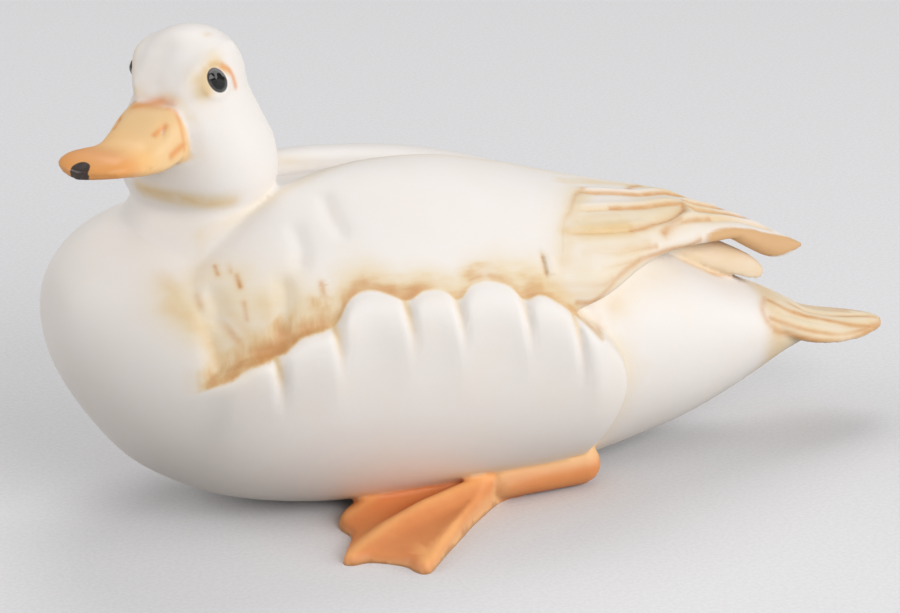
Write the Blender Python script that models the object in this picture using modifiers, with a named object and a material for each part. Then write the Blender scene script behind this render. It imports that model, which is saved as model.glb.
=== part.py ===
"""A resting duck in bisque porcelain, slip-cast hollow and fired as one piece.

The duck lies along X and looks towards -X, with its own left side at -Y and its head turned
to the left. The origin is on the flat of the belly, on the surface that the duck rests on.
Lengths below are millimetres; MM turns them into Blender's metres.

The forms are modelled separately as closed shells and fused by a voxel remesh, as clay is.
The feather lines are then carved, the underside is cut flat, and the casting is hollowed
with a vent in the belly.
"""

import math

import bmesh
import bpy
import numpy as np

MM = 0.001

# Body, as sections across X: place, back, belly, half width, height of the widest point.
BODY_SECTIONS = (
    (-93.5, 59.0, 57.0, 1.0, 58.0),
    (-92.6, 66.0, 49.0, 9.0, 57.5),
    (-89.5, 72.0, 40.5, 17.0, 56.5),
    (-83.0, 78.0, 29.5, 26.5, 54.5),
    (-74.0, 82.5, 18.5, 34.5, 52.5),
    (-62.0, 85.5, 10.5, 40.0, 50.0),
    (-48.0, 86.5, 4.5, 42.3, 47.5),
    (-28.0, 86.5, 0.2, 43.3, 45.0),
    (-6.0, 86.0, -1.4, 43.8, 43.0),
    (16.0, 83.5, -1.5, 43.5, 41.5),
    (34.0, 79.0, -1.2, 42.6, 39.5),
    (46.0, 74.5, 0.2, 41.0, 37.5),
    (56.0, 69.5, 2.0, 38.0, 36.5),
    (68.0, 62.5, 4.4, 33.5, 35.0),
    (81.0, 55.5, 7.2, 27.5, 33.0),
    (93.0, 48.6, 11.0, 21.5, 31.5),
    (104.0, 43.0, 15.5, 16.5, 30.5),
    (113.0, 38.5, 20.6, 13.5, 29.5),
    (120.0, 34.5, 23.8, 10.5, 28.5),
    (125.0, 31.0, 25.5, 4.0, 28.0),
)

# Neck and head, as level sections: height, centre along X and Y, half depth, half width.
HEAD_YAW = 39.0
HEAD_SECTIONS = (
    (66.0, -48.0, 0.0, 33.0, 32.0),
    (76.0, -49.5, -0.5, 28.0, 28.0),
    (83.0, -50.0, -1.5, 23.5, 22.0),
    (88.0, -51.2, -2.6, 19.6, 18.6),
    (91.5, -52.3, -3.4, 19.4, 19.2),
    (96.0, -52.7, -3.7, 20.6, 20.0),
    (103.0, -53.3, -4.0, 20.4, 19.2),
    (110.0, -54.3, -4.8, 18.6, 16.3),
    (117.0, -55.1, -5.2, 16.6, 13.7),
    (122.5, -55.2, -5.3, 15.6, 12.9),
    (127.3, -55.4, -5.0, 13.2, 11.4),
    (130.8, -55.4, -5.0, 9.0, 7.8),
    (132.5, -55.4, -5.0, 4.6, 4.0),
    (133.0, -55.4, -5.0, 0.5, 0.5),
)

# Bill, as sections along its own axis: distance from the middle of the head, half width, and
# the heights of the culmen and of the edge along its sides over the middle of the head.
HEAD_MIDDLE = (-56.0, -5.0, 118.0)
BILL_SECTIONS = (
    (6.0, 9.0, -0.3, -12.6),
    (12.0, 9.6, -0.6, -13.0),
    (16.0, 9.8, -1.3, -13.7),
    (20.0, 9.6, -2.7, -14.6),
    (24.0, 9.2, -5.2, -15.0),
    (28.0, 8.9, -7.3, -14.5),
    (32.0, 9.1, -7.8, -13.8),
    (36.0, 9.5, -7.4, -12.8),
    (40.0, 9.8, -7.0, -11.8),
    (43.5, 9.4, -7.2, -11.1),
    (46.0, 7.8, -8.0, -10.7),
    (48.2, 5.0, -9.0, -10.5),
    (49.5, 0.8, -10.0, -10.5),
)
BILL_SQUARENESS = 0.67
BILL_BELLY = 1.2

# Eyes, as balls set in the head: forward, out and up from the middle of the head.
EYE_PLACE = (5.2, 10.2, 4.0)
EYE_RADIUS = 3.0

# Folded wings, as sections across X: place, inner edge out and up, ridge out and up, lower edge
# out and up, thickness. The left wing's blade lies over the right one's above the rump.
NEAR_WING = (
    (-68.0, 29.0, 65.5, 30.0, 66.0, 34.0, 58.0, 8.0),
    (-60.0, 22.0, 75.5, 26.0, 77.0, 37.5, 52.0, 14.0),
    (-46.0, 14.0, 84.0, 19.0, 86.5, 41.0, 50.0, 18.0),
    (-29.0, 8.0, 88.5, 13.0, 91.2, 41.8, 52.0, 18.0),
    (-10.0, 3.5, 89.5, 7.5, 92.6, 42.0, 54.0, 18.0),
    (12.0, -1.5, 88.0, 1.5, 90.0, 41.6, 53.0, 16.0),
    (32.0, -5.0, 83.5, -3.0, 84.5, 39.4, 55.0, 12.0),
    (44.6, -7.0, 79.5, -5.0, 80.3, 37.4, 57.4, 9.0),
    (52.5, -8.0, 77.0, -6.0, 77.8, 33.8, 59.2, 10.0),
    (60.0, -8.5, 74.8, -6.5, 75.6, 29.2, 61.2, 11.0),
    (70.0, -9.0, 72.0, -7.0, 72.9, 23.3, 62.4, 10.5),
    (80.0, -9.0, 69.0, -7.0, 70.2, 18.0, 61.8, 7.5),
    (90.0, -9.0, 65.4, -7.0, 66.2, 13.0, 60.4, 3.6),
    (100.0, -8.5, 61.2, -6.5, 62.0, 8.0, 58.6, 3.2),
    (110.0, -7.0, 56.5, -5.5, 57.3, 3.5, 54.9, 3.0),
    (118.0, -5.0, 52.5, -4.0, 53.1, 0.0, 51.4, 2.2),
    (124.3, -3.4, 49.5, -3.0, 49.7, -2.0, 49.3, 0.8),
)
FAR_WING = (
    (-68.0, 29.0, 65.5, 30.0, 66.0, 34.0, 58.0, 8.0),
    (-60.0, 22.0, 75.5, 26.0, 77.0, 37.5, 52.0, 14.0),
    (-46.0, 15.0, 84.0, 20.0, 86.0, 41.0, 50.0, 18.0),
    (-24.0, 10.0, 87.0, 16.0, 89.8, 41.8, 52.0, 18.0),
    (-7.0, 8.0, 86.5, 14.5, 89.6, 42.0, 54.0, 18.0),
    (12.0, 5.0, 85.0, 12.5, 87.6, 41.6, 53.0, 16.0),
    (32.0, 1.0, 80.5, 9.0, 83.0, 39.8, 50.0, 12.0),
    (44.6, -2.0, 75.5, 6.0, 78.0, 37.4, 56.4, 9.0),
    (56.0, -5.0, 69.5, 5.0, 72.8, 31.5, 57.8, 8.4),
    (68.0, -7.0, 62.6, 4.0, 67.6, 24.6, 58.0, 7.8),
    (80.0, -8.0, 56.4, 3.0, 62.6, 18.5, 55.8, 7.0),
    (91.0, -7.2, 50.4, 1.5, 57.4, 12.0, 51.4, 6.0),
    (100.0, -6.4, 46.2, -1.0, 53.4, 5.5, 48.2, 5.0),
    (106.0, -5.4, 44.0, -2.4, 50.0, 1.2, 46.0, 3.8),
    (109.5, -4.0, 44.0, -3.2, 46.6, -2.4, 45.0, 1.2),
)

# The most of the way from a wing's surface to the middle of its section that its thickness takes.
WING_CORE = 0.8
LIP_BULGE = 1.4
LIP_POINTS = 5

# The curl under the near wing's tip, as sections across X: place, out, height, half width, half height.
TIP_CURL = (
    (92.0, 4.0, 60.5, 2.0, 1.0),
    (98.0, 4.2, 59.0, 3.2, 2.2),
    (105.0, 2.8, 55.6, 3.6, 3.2),
    (112.0, 0.2, 51.8, 3.4, 3.4),
    (118.0, -2.0, 49.7, 2.6, 2.6),
    (123.6, -2.8, 49.3, 1.0, 0.9),
)

# Tail, as sections across X: place, middle height, half width, half thickness, droop of the edges.
TAIL = (
    (104.0, 33.0, 13.0, 6.0, 0.0),
    (112.0, 32.5, 14.0, 4.6, 1.5),
    (120.0, 30.5, 13.8, 3.2, 3.0),
    (128.0, 28.5, 12.6, 2.2, 3.2),
    (136.0, 27.2, 10.2, 1.8, 2.8),
    (142.0, 26.3, 7.2, 1.5, 2.0),
    (146.5, 25.2, 3.8, 1.3, 1.0),
    (148.5, 24.4, 1.0, 0.8, 0.2),
)
TAIL_SQUARENESS = 0.6

# Foot: its outline on the ground as (X, out), and its toes as lines of (X, out, height).
FOOT_OUTLINE = (
    (29.0, 25.5), (21.6, 27.5), (10.5, 37.6), (4.1, 44.6), (-6.1, 56.0), (-12.6, 63.6), (-15.4, 64.2),
    (-17.0, 61.4), (-17.8, 58.2), (-21.6, 54.6), (-25.8, 52.2), (-29.8, 52.6), (-32.0, 51.0),
    (-31.4, 48.2), (-27.9, 41.9), (-24.4, 35.4), (-25.2, 30.4), (-24.4, 25.9), (-21.4, 21.7),
    (-16.2, 18.0), (-8.0, 16.0), (6.0, 16.0), (20.0, 18.0), (28.0, 20.0),
)
TOES = (
    ((-13.8, 62.2, 3.0), (-5.8, 54.4, 4.4), (5.0, 44.6, 6.2), (13.5, 36.6, 7.8), (22.0, 29.0, 9.0)),
    ((-30.2, 50.2, 3.0), (-16.5, 40.6, 5.2), (-4.6, 35.0, 7.0), (8.0, 31.0, 8.4), (22.0, 28.0, 9.0)),
    ((-23.4, 27.6, 3.2), (-16.0, 24.0, 4.8), (-6.0, 22.4, 6.6), (8.0, 23.4, 8.0), (22.0, 26.0, 9.0)),
)
TOE_WIDTH = 3.4
WEB_AT_TIPS = 2.0
WEB_SLOPE = 0.075
FOOT_EDGE = 1.8
ANKLE = (22.0, 26.5, 5.0)
HOCK = (45.5, 24.0, 6.0)
HOCK_RADIUS = 5.8
SHANK_RADIUS = 4.4
FOOT_SUNK = 2.5
FOOT_MARGIN = 2.0
TOE_TIPS_AT = -29.8
OUTLINE_POINTS = 96

# Flank feathers: the scalloped line where they lap over the wing, as (X, height).
SCALLOPS = (
    (-66.0, 48.5), (-59.0, 52.0), (-52.0, 55.5), (-46.5, 56.8), (-39.0, 61.0), (-33.0, 62.0),
    (-30.0, 62.5), (-26.5, 67.5), (-21.0, 70.2), (-15.0, 68.6), (-11.0, 66.5), (-5.0, 68.2),
    (1.0, 66.6), (3.0, 64.8), (8.0, 67.6), (14.0, 67.6), (20.0, 64.4), (21.5, 62.5),
    (27.0, 62.6), (33.0, 59.0), (38.0, 54.5), (44.0, 48.0),
)
GROOVES = (-46.5, -30.5, -11.0, 3.0, 21.5, 36.0)
LOBE_RISE = 3.4
LOBE_RISE_PER_HEIGHT = 0.15
LOBE_BASE = 54.0
LOBE_REACH = 14.0
LOBE_ROUNDING = 1.6
LOBE_ROUNDED_SHARE = 0.5
LOBE_FADE = 3.0
LOBE_CLEAR_OF_BREAST = 4.0
TUCK_UNDER_WING = 3.5
TUCK_EDGE = 0.6
GROOVE_DEPTH = 2.6
GROOVE_WIDTH = 1.3
GROOVE_LEAN = 0.12
GROOVE_REACH = 11.2

# How far from the middle of the back the flank's relief starts, and over what width it comes in.
SPINE_CLEAR = 18.0
SPINE_BLEND = 6.0

# Rear edge of the flank feathers over the abdomen, as (height, X), and how far it stands out.
FLANK_REAR = (
    (0.0, 43.0), (8.0, 46.0), (16.0, 49.0), (24.0, 52.0), (33.0, 53.5), (41.0, 51.0),
    (50.0, 43.5), (58.0, 35.0),
)
FLANK_STEP = 5.0
FLANK_STEP_WIDTH = 0.9
ABDOMEN_REACH = 42.0

# Feather edges carved in a wing, as lines of (X, out, height) on the near wing.
WING_LINES = (
    ((53.7, 5.8, 76.8), (49.0, 11.3, 76.7), (44.1, 19.2, 75.6), (39.1, 25.3, 73.7), (35.2, 33.2, 67.4)),
    ((51.8, 8.3, 76.5), (62.2, 4.6, 74.1), (72.3, 2.1, 71.6), (82.5, -3.7, 68.8), (89.0, -5.5, 66.6)),
    ((45.7, 18.8, 75.2), (57.9, 14.2, 73.1), (68.3, 10.8, 71.1), (78.0, 5.9, 69.2), (84.9, 2.2, 67.4)),
    ((84.9, 2.2, 67.4), (82.5, 7.7, 67.2), (76.4, 13.8, 67.3), (67.7, 18.6, 68.2)),
    ((84.9, 3.5, 67.0), (89.8, 3.3, 65.5), (99.2, -0.3, 62.0), (107.3, -4.2, 58.3)),
    ((86.6, -0.8, 67.2), (92.2, -1.6, 65.1), (99.8, -4.7, 62.0)),
    ((39.2, 27.1, 72.3), (50.3, 24.9, 70.5), (60.4, 21.7, 69.0), (67.7, 18.6, 68.2)),
    ((75.1, 16.7, 66.4), (80.8, 12.7, 66.1), (90.9, 7.3, 64.0), (103.1, 1.1, 60.0), (114.0, -2.0, 55.0)),
    ((44.6, 31.1, 67.4), (52.6, 29.3, 66.0), (60.3, 26.4, 65.2), (66.8, 23.8, 64.4)),
    ((46.5, 33.4, 64.0), (51.5, 31.8, 63.7), (56.9, 29.6, 63.3)),
    ((29.4, 36.8, 63.6), (36.6, 36.6, 61.7), (45.5, 35.8, 60.5), (49.6, 34.2, 61.1)),
    ((29.9, 33.0, 69.8), (30.1, 34.5, 67.4), (30.0, 36.0, 64.9)),
)
LINE_DEPTH = 1.1
LINE_WIDTH = 1.4
TAIL_LINE_DEPTH = 0.8
FAR_WING_FROM = 8.0

# Soft dents pressed in the front of a wing, in the same way.
WING_DENTS = (
    ((-36.0, 29.6, 83.6), (-35.6, 33.0, 79.8), (-36.5, 34.7, 77.3)),
    ((-42.2, 36.8, 72.6), (-42.0, 38.3, 69.1), (-44.1, 40.1, 62.0)),
    ((-59.7, 33.8, 71.3), (-59.0, 35.5, 68.3), (-59.6, 36.3, 65.5)),
    ((-25.7, 23.1, 88.8), (-25.9, 27.3, 86.1), (-24.5, 30.7, 83.0)),
)
DENT_DEPTH = 0.9
DENT_WIDTH = 2.6

# Feather edges carved in the tail, as lines of (X, out, height).
TAIL_LINES = (
    ((108.0, 10.8, 36.0), (114.6, 10.3, 34.1), (125.1, 9.0, 30.1), (134.6, 8.2, 27.3), (141.5, 6.5, 25.8)),
    ((112.0, 5.6, 36.5), (120.5, 4.9, 33.5), (133.5, 3.4, 29.3), (142.5, 2.0, 27.4)),
)

VOXEL = 0.9
SMOOTH_PASSES = 2
MOST_TRIANGLES = 10200

WALL = 4.5
VENT_PLACE = 24.0
VENT_RADIUS = 3.0
CAVITY_VOXEL = 2.6
CAVITY_TRIANGLES = 1100
GROUND_SIZE = 400.0

BISQUE_COLOUR = (0.80, 0.74, 0.68, 1.0)
BISQUE_ROUGHNESS = 0.55


def through(places, values, at):
    """A smooth curve through values given at rising places, read at other places."""
    places = np.asarray(places, float)
    values = np.asarray(values, float)
    slopes = np.gradient(values, places, axis=0)
    at = np.asarray(at, float)
    left = np.clip(np.searchsorted(places, at) - 1, 0, len(places) - 2)
    span = places[left + 1] - places[left]
    t = (at - places[left]) / span
    shape = (-1,) + (1,) * (values.ndim - 1)
    t, span = t.reshape(shape), span.reshape(shape)
    return (
        values[left] * (1 + 2 * t) * (1 - t) ** 2
        + slopes[left] * span * t * (1 - t) ** 2
        + values[left + 1] * t * t * (3 - 2 * t)
        + slopes[left + 1] * span * t * t * (t - 1)
    )


def rows_between(sections, count):
    """The sections' own numbers, read at count even steps from the first section to the last."""
    steps = np.arange(len(sections))
    return through(steps, sections, np.linspace(0, len(sections) - 1, count))


def loft(name, rings):
    """A closed shell through rings of points, capped flat at both ends. Points are in millimetres."""
    mesh = bpy.data.meshes.new(name)
    bm = bmesh.new()
    made = [[bm.verts.new(np.asarray(point) * MM) for point in ring] for ring in rings]
    for near, far in zip(made, made[1:]):
        for k in range(len(near)):
            after = (k + 1) % len(near)
            bm.faces.new((near[k], near[after], far[after], far[k]))
    bm.faces.new(reversed(made[0]))
    bm.faces.new(made[-1])
    bmesh.ops.recalc_face_normals(bm, faces=bm.faces)
    bm.to_mesh(mesh)
    bm.free()
    obj = bpy.data.objects.new(name, mesh)
    bpy.context.scene.collection.objects.link(obj)
    return obj


def round_turn(count):
    return np.linspace(0, 2 * math.pi, count, endpoint=False)


def bell(distance, width):
    return np.exp(-((distance / width) ** 2))


def rise_at(value, width):
    """From 0 below zero to 1 above it, over about twice the width."""
    return 1 / (1 + np.exp(-np.clip(value / width, -40, 40) * 2))


def lobes(x, z):
    """How far the flank's lobed feathers stand out of the plain body, and sink under the wing."""
    line = through(*np.array(SCALLOPS).T, np.clip(x, SCALLOPS[0][0], SCALLOPS[-1][0]))
    below = line - z
    along = rise_at(x - SCALLOPS[0][0] - LOBE_CLEAR_OF_BREAST, LOBE_FADE)
    along = along * rise_at(SCALLOPS[-1][0] - x, LOBE_FADE)
    lobe = LOBE_RISE + LOBE_RISE_PER_HEIGHT * np.maximum(line - LOBE_BASE, 0)
    lobe = lobe * bell(np.maximum(below, 0), LOBE_REACH)
    lobe = lobe * (1 - LOBE_ROUNDED_SHARE * bell(np.maximum(below, 0), LOBE_ROUNDING))
    groove = sum(bell(x - place - GROOVE_LEAN * below, GROOVE_WIDTH) for place in GROOVES)
    groove = GROOVE_DEPTH * groove * bell(np.maximum(below, 0), GROOVE_REACH)
    under = rise_at(below, TUCK_EDGE)
    return along * (under * (lobe - groove) - (1 - under) * TUCK_UNDER_WING)


def step_behind(x, z):
    """How far the abdomen lies in from the flank feathers' rear edge."""
    behind = x - through(*np.array(FLANK_REAR).T, np.clip(z, FLANK_REAR[0][0], FLANK_REAR[-1][0]))
    return FLANK_STEP * rise_at(behind, FLANK_STEP_WIDTH) * bell(np.maximum(behind, 0), ABDOMEN_REACH)


def body_shell(name, inset):
    """The body without wings, drawn in from its own surface by inset."""
    turn = round_turn(160)
    rings = []
    rows = rows_between(BODY_SECTIONS, 300)
    rows = rows[(rows[:, 0] > rows[0, 0] + inset) & (rows[:, 3] > inset + 1)]
    for x, back, belly, half_width, wide in rows:
        reach = np.where(np.sin(turn) > 0, back - wide, wide - belly) - inset
        y = (half_width - inset) * np.cos(turn)
        z = wide + reach * np.sin(turn)
        out = -step_behind(x + inset, z)
        if not inset:
            out = out + lobes(x, z)
        y = y + np.cos(turn) * out * rise_at(np.abs(y) - SPINE_CLEAR, SPINE_BLEND)
        rings.append(np.column_stack((np.full_like(y, x), y, z)))
    return loft(name, rings)


def head_axes():
    """The directions ahead, aside to the left and up, as the turned head has them."""
    yaw = math.radians(HEAD_YAW)
    ahead = np.array((-math.cos(yaw), -math.sin(yaw), 0.0))
    aside = np.array((math.sin(yaw), -math.cos(yaw), 0.0))
    return ahead, aside, np.array((0.0, 0.0, 1.0))


def head_shell(name, inset):
    """Neck and head together, drawn in from their own surface by inset."""
    ahead, aside, up = head_axes()
    turn = round_turn(40)
    rings = []
    rows = rows_between(HEAD_SECTIONS, 60)
    rows = rows[(rows[:, 4] > inset + 1) & (rows[:, 0] < rows[-1, 0] - inset)]
    for z, x, y, depth, width in rows:
        middle = np.array((x, y, z))
        rings.append(
            middle
            + np.outer((depth - inset) * np.cos(turn), ahead)
            + np.outer((width - inset) * np.sin(turn), aside)
        )
    return loft(name, rings)


def bill():
    ahead, aside, up = head_axes()
    turn = round_turn(40)
    square = np.sign(np.cos(turn)) * np.abs(np.cos(turn)) ** BILL_SQUARENESS
    rings = []
    for reach, half_width, culmen, edge in rows_between(BILL_SECTIONS, 50):
        above = edge + (culmen - edge) * np.abs(np.sin(turn)) ** BILL_SQUARENESS
        below = edge + BILL_BELLY * np.sin(turn)
        across = np.outer(half_width * square, aside)
        upward = np.outer(np.where(np.sin(turn) > 0, above, below), up)
        rings.append(np.array(HEAD_MIDDLE) + reach * ahead + across + upward)
    return loft("bill", rings)


def eye(side):
    ahead, aside, up = head_axes()
    forward, out, rise = EYE_PLACE
    place = np.array(HEAD_MIDDLE) + forward * ahead + side * out * aside + rise * up
    bpy.ops.mesh.primitive_uv_sphere_add(
        segments=24, ring_count=16, radius=EYE_RADIUS * MM, location=place * MM
    )
    return bpy.context.object


def quarter(from_ridge, to_edge, turn):
    """A quarter of an ellipse that leaves the ridge level and reaches the edge upright."""
    part = np.column_stack((np.cos(turn), np.sin(turn)))
    middle = np.array((from_ridge[0], to_edge[1]))
    return middle + part * (to_edge[0] - from_ridge[0], from_ridge[1] - to_edge[1])


def lip(start, end, outward):
    """A rounded edge between two places of a section, bulging towards outward."""
    half = (np.asarray(start) - end) / 2
    bulge = np.array((-half[1], half[0]))
    bulge = bulge * np.sign(bulge @ outward) * min(1, LIP_BULGE / np.linalg.norm(half))
    turn = np.linspace(0, math.pi, LIP_POINTS + 2)[1:-1, None]
    return (np.asarray(start) + end) / 2 + np.cos(turn) * half + np.sin(turn) * bulge


def wing(name, sections, side):
    """A folded wing: a sheet bent over the back from its inner edge, over its ridge, to its lower edge."""
    rings = []
    for row in rows_between(sections, 110):
        x, inner, ridge, edge, thickness = row[0], row[1:3], row[3:5], row[5:7], row[7]
        inside = quarter(ridge, inner, np.linspace(0, math.pi / 2, 9)[:-1])
        outside = quarter(ridge, edge, np.linspace(math.pi / 2, 0, 25))
        skin = np.vstack((inside, outside))
        inward = np.array((ridge[0], edge[1] - thickness / 3)) - skin
        away = np.linalg.norm(inward, axis=1)[:, None]
        under = skin + np.minimum(thickness / away, WING_CORE) * inward
        section = np.vstack((skin, lip(skin[-1], under[-1], (0, -1)), under[::-1]))
        rings.append(np.column_stack((np.full(len(section), x), side * section[:, 0], section[:, 1])))
    return loft(name, rings)


def tip_curl():
    turn = round_turn(20)
    rings = []
    for x, out, height, half_width, half_height in rows_between(TIP_CURL, 40):
        y = -(out + half_width * np.cos(turn))
        z = height + half_height * np.sin(turn)
        rings.append(np.column_stack((np.full_like(y, x), y, z)))
    return loft("curl", rings)


def tail():
    turn = round_turn(36)
    rings = []
    for x, middle, half_width, half_thickness, droop in rows_between(TAIL, 50):
        y = half_width * np.cos(turn)
        blunt = np.sign(np.sin(turn)) * np.abs(np.sin(turn)) ** TAIL_SQUARENESS
        z = middle + half_thickness * blunt - droop * np.cos(turn) ** 2
        rings.append(np.column_stack((np.full_like(y, x), y, z)))
    return loft("tail", rings)


def tube(start, end, start_radius, end_radius):
    """A tapering round bar between two points, with rounded ends."""
    curve = bpy.data.curves.new("bar", "CURVE")
    curve.dimensions = "3D"
    curve.bevel_depth = MM
    curve.bevel_resolution = 4
    curve.use_fill_caps = True
    spline = curve.splines.new("POLY")
    start, end = np.array(start, float), np.array(end, float)
    along = (end - start) / np.linalg.norm(end - start)
    stops = []
    for tilt in np.radians((-75, -50, -25, 0)):
        stops.append((start + start_radius * math.sin(tilt) * along, start_radius * math.cos(tilt)))
    for tilt in np.radians((0, 25, 50, 75)):
        stops.append((end + end_radius * math.sin(tilt) * along, end_radius * math.cos(tilt)))
    spline.points.add(len(stops) - 1)
    for point, (place, radius) in zip(spline.points, stops):
        point.co = (*(place * MM), 1.0)
        point.radius = radius
    bar = bpy.data.objects.new("bar", curve)
    bpy.context.scene.collection.objects.link(bar)
    mesh = bpy.data.meshes.new_from_object(bar.evaluated_get(bpy.context.evaluated_depsgraph_get()))
    bpy.data.objects.remove(bar)
    bm = bmesh.new()
    bm.from_mesh(mesh)
    bmesh.ops.remove_doubles(bm, verts=bm.verts, dist=0.01 * MM)
    bmesh.ops.recalc_face_normals(bm, faces=bm.faces)
    bm.to_mesh(mesh)
    bm.free()
    solid = bpy.data.objects.new("bar", mesh)
    bpy.context.scene.collection.objects.link(solid)
    return solid


def closest(points, line):
    """The distance from each point to a line drawn through places."""
    best = np.full(len(points), np.inf)
    for start, end in zip(np.asarray(line)[:-1], np.asarray(line)[1:]):
        along = end - start
        part = np.clip((points - start) @ along / (along @ along), 0, 1)
        best = np.minimum(best, np.linalg.norm(points - start - part[:, None] * along, axis=1))
    return best


def inside_outline(points, outline):
    """How far each point lies inside a closed outline, and how far outside as a negative number."""
    ring = np.vstack((outline, outline[:1]))
    inside = np.zeros(len(points), bool)
    for start, end in zip(ring[:-1], ring[1:]):
        spans = (start[1] > points[:, 1]) != (end[1] > points[:, 1])
        rise = end[1] - start[1] or 1.0
        crossing = start[0] + (points[:, 1] - start[1]) / rise * (end[0] - start[0])
        inside ^= spans & (points[:, 0] < crossing)
    return np.where(inside, 1, -1) * closest(points, ring)


def foot_height(x, out):
    """The height of a webbed foot's top over the ground: toes with the web between them."""
    outline = np.array(FOOT_OUTLINE)
    ring = np.vstack((outline[-2:], outline, outline[:2]))
    steps = np.arange(len(ring))
    outline = through(steps, ring, np.linspace(2, len(outline) + 2, OUTLINE_POINTS, endpoint=False))
    spots = np.column_stack((x, out))
    web = WEB_AT_TIPS + WEB_SLOPE * (x - TOE_TIPS_AT)
    top = web
    for toe in TOES:
        toe = np.array(toe)
        crest = np.interp(x, toe[:, 0], toe[:, 2])
        top = np.maximum(top, web + (crest - web) * bell(closest(spots, toe[:, :2]), TOE_WIDTH))
    into = np.clip(inside_outline(spots, outline) / FOOT_EDGE, 0, 1)
    return (top + FOOT_SUNK) * np.sqrt(1 - (1 - into) ** 2) - FOOT_SUNK


def foot(side, step):
    """A webbed foot laid flat, with its shank lying back along the ground under the flank."""
    low = np.min(FOOT_OUTLINE, axis=0) - FOOT_MARGIN
    high = np.max(FOOT_OUTLINE, axis=0) + FOOT_MARGIN
    out = np.arange(low[1], high[1], step)
    rings = []
    for x in np.arange(low[0], high[0], step):
        top = np.column_stack((np.full_like(out, x), side * out, foot_height(np.full_like(out, x), out)))
        under = top[::-1] * (1, 1, 0) - (0, 0, 2 * FOOT_SUNK)
        rings.append(np.vstack((top, under)))
    shank = tube(np.multiply(ANKLE, (1, side, 1)), np.multiply(HOCK, (1, side, 1)), SHANK_RADIUS, HOCK_RADIUS)
    return [loft("foot", rings), shank]


def sunk(points):
    """How far each point of the skin sinks for the carved feather edges and dents."""
    depth = np.zeros(len(points))
    x, y, z = points.T
    place, near_up = np.array(NEAR_WING).T[[0, 4]]
    far_place, far_up = np.array(FAR_WING).T[[0, 4]]
    drop = through(place, near_up, x) - through(far_place, far_up, np.minimum(x, far_place[-1]))
    near = np.column_stack((x, -y, z))
    far = np.column_stack((x, y, z + drop))
    for lines, deep, wide in (
        (WING_LINES, LINE_DEPTH, LINE_WIDTH),
        (WING_DENTS, DENT_DEPTH, DENT_WIDTH),
    ):
        for line in lines:
            depth = np.maximum(depth, deep * bell(closest(near, line), wide))
            depth = np.maximum(depth, deep * bell(closest(far, line), wide) * (y > FAR_WING_FROM))
    tail_side = np.column_stack((x, np.abs(y), z))
    for line in TAIL_LINES:
        depth = np.maximum(depth, TAIL_LINE_DEPTH * bell(closest(tail_side, line), LINE_WIDTH))
    return depth


def carve(skin):
    """Press the feather edges and dents into the skin, along its own normals."""
    count = len(skin.data.vertices)
    places = np.empty(count * 3)
    normals = np.empty(count * 3)
    skin.data.vertices.foreach_get("co", places)
    skin.data.vertices.foreach_get("normal", normals)
    places, normals = places.reshape(-1, 3), normals.reshape(-1, 3)
    places -= normals * (sunk(places / MM) * MM)[:, None]
    skin.data.vertices.foreach_set("co", places.ravel())
    skin.data.update()


def fuse(name, shells, voxel, smooth_passes):
    """Join closed shells and melt them into one skin, returned as a plain mesh object."""
    bpy.ops.object.select_all(action="DESELECT")
    for shell in shells:
        shell.select_set(True)
    bpy.context.view_layer.objects.active = shells[0]
    bpy.ops.object.join()
    fused = bpy.context.object
    fused.name = name
    fused.data.name = name
    remesh = fused.modifiers.new("fuse", "REMESH")
    remesh.mode = "VOXEL"
    remesh.voxel_size = voxel * MM
    smooth = fused.modifiers.new("soften", "SMOOTH")
    smooth.factor = 0.5
    smooth.iterations = smooth_passes
    for modifier in list(fused.modifiers):
        bpy.ops.object.modifier_apply(modifier=modifier.name)
    return fused


def collection_for(name, obj):
    """A collection of this name that holds the object, and nothing else that held it before."""
    home = bpy.data.collections.get(name) or bpy.data.collections.new(name)
    if name not in bpy.context.scene.collection.children:
        bpy.context.scene.collection.children.link(home)
    for old in list(obj.users_collection):
        old.objects.unlink(obj)
    home.objects.link(obj)


def cut(body, cutter, name):
    """Take the cutter's form away from the body, and leave the cutter out of the picture."""
    cutter.hide_render = True
    cutter.display_type = "WIRE"
    collection_for("duck cutters", cutter)
    boolean = body.modifiers.new(name, "BOOLEAN")
    boolean.operation = "DIFFERENCE"
    boolean.solver = "EXACT"
    boolean.object = cutter


def thin_out(obj, triangles):
    decimate = obj.modifiers.new("facets", "DECIMATE")
    decimate.ratio = min(1.0, triangles / (2 * len(obj.data.polygons)))


def cavity():
    """The hollow that the slip is poured out of, in the body, the neck and the head."""
    hollow = fuse("cavity", [body_shell("hollow", WALL), head_shell("hollow", WALL)], CAVITY_VOXEL, 3)
    thin_out(hollow, CAVITY_TRIANGLES)
    return hollow


def vent():
    bpy.ops.mesh.primitive_cylinder_add(
        vertices=32,
        radius=VENT_RADIUS * MM,
        depth=4 * WALL * MM,
        location=(VENT_PLACE * MM, 0.0, 0.0),
    )
    bpy.context.object.name = "vent"
    return bpy.context.object


def ground():
    """The block under the duck whose top is the surface that it rests on."""
    bpy.ops.mesh.primitive_cube_add(size=GROUND_SIZE * MM, location=(0.0, 0.0, -GROUND_SIZE * MM / 2))
    bpy.context.object.name = "ground"
    return bpy.context.object


def bisque():
    """Matt white porcelain with a warm, slightly grey cast."""
    material = bpy.data.materials.new("white bisque")
    material.use_nodes = True
    shader = material.node_tree.nodes["Principled BSDF"]
    shader.inputs["Base Color"].default_value = BISQUE_COLOUR
    shader.inputs["Roughness"].default_value = BISQUE_ROUGHNESS
    shader.inputs["Metallic"].default_value = 0.0
    material.diffuse_color = BISQUE_COLOUR
    return material


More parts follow.
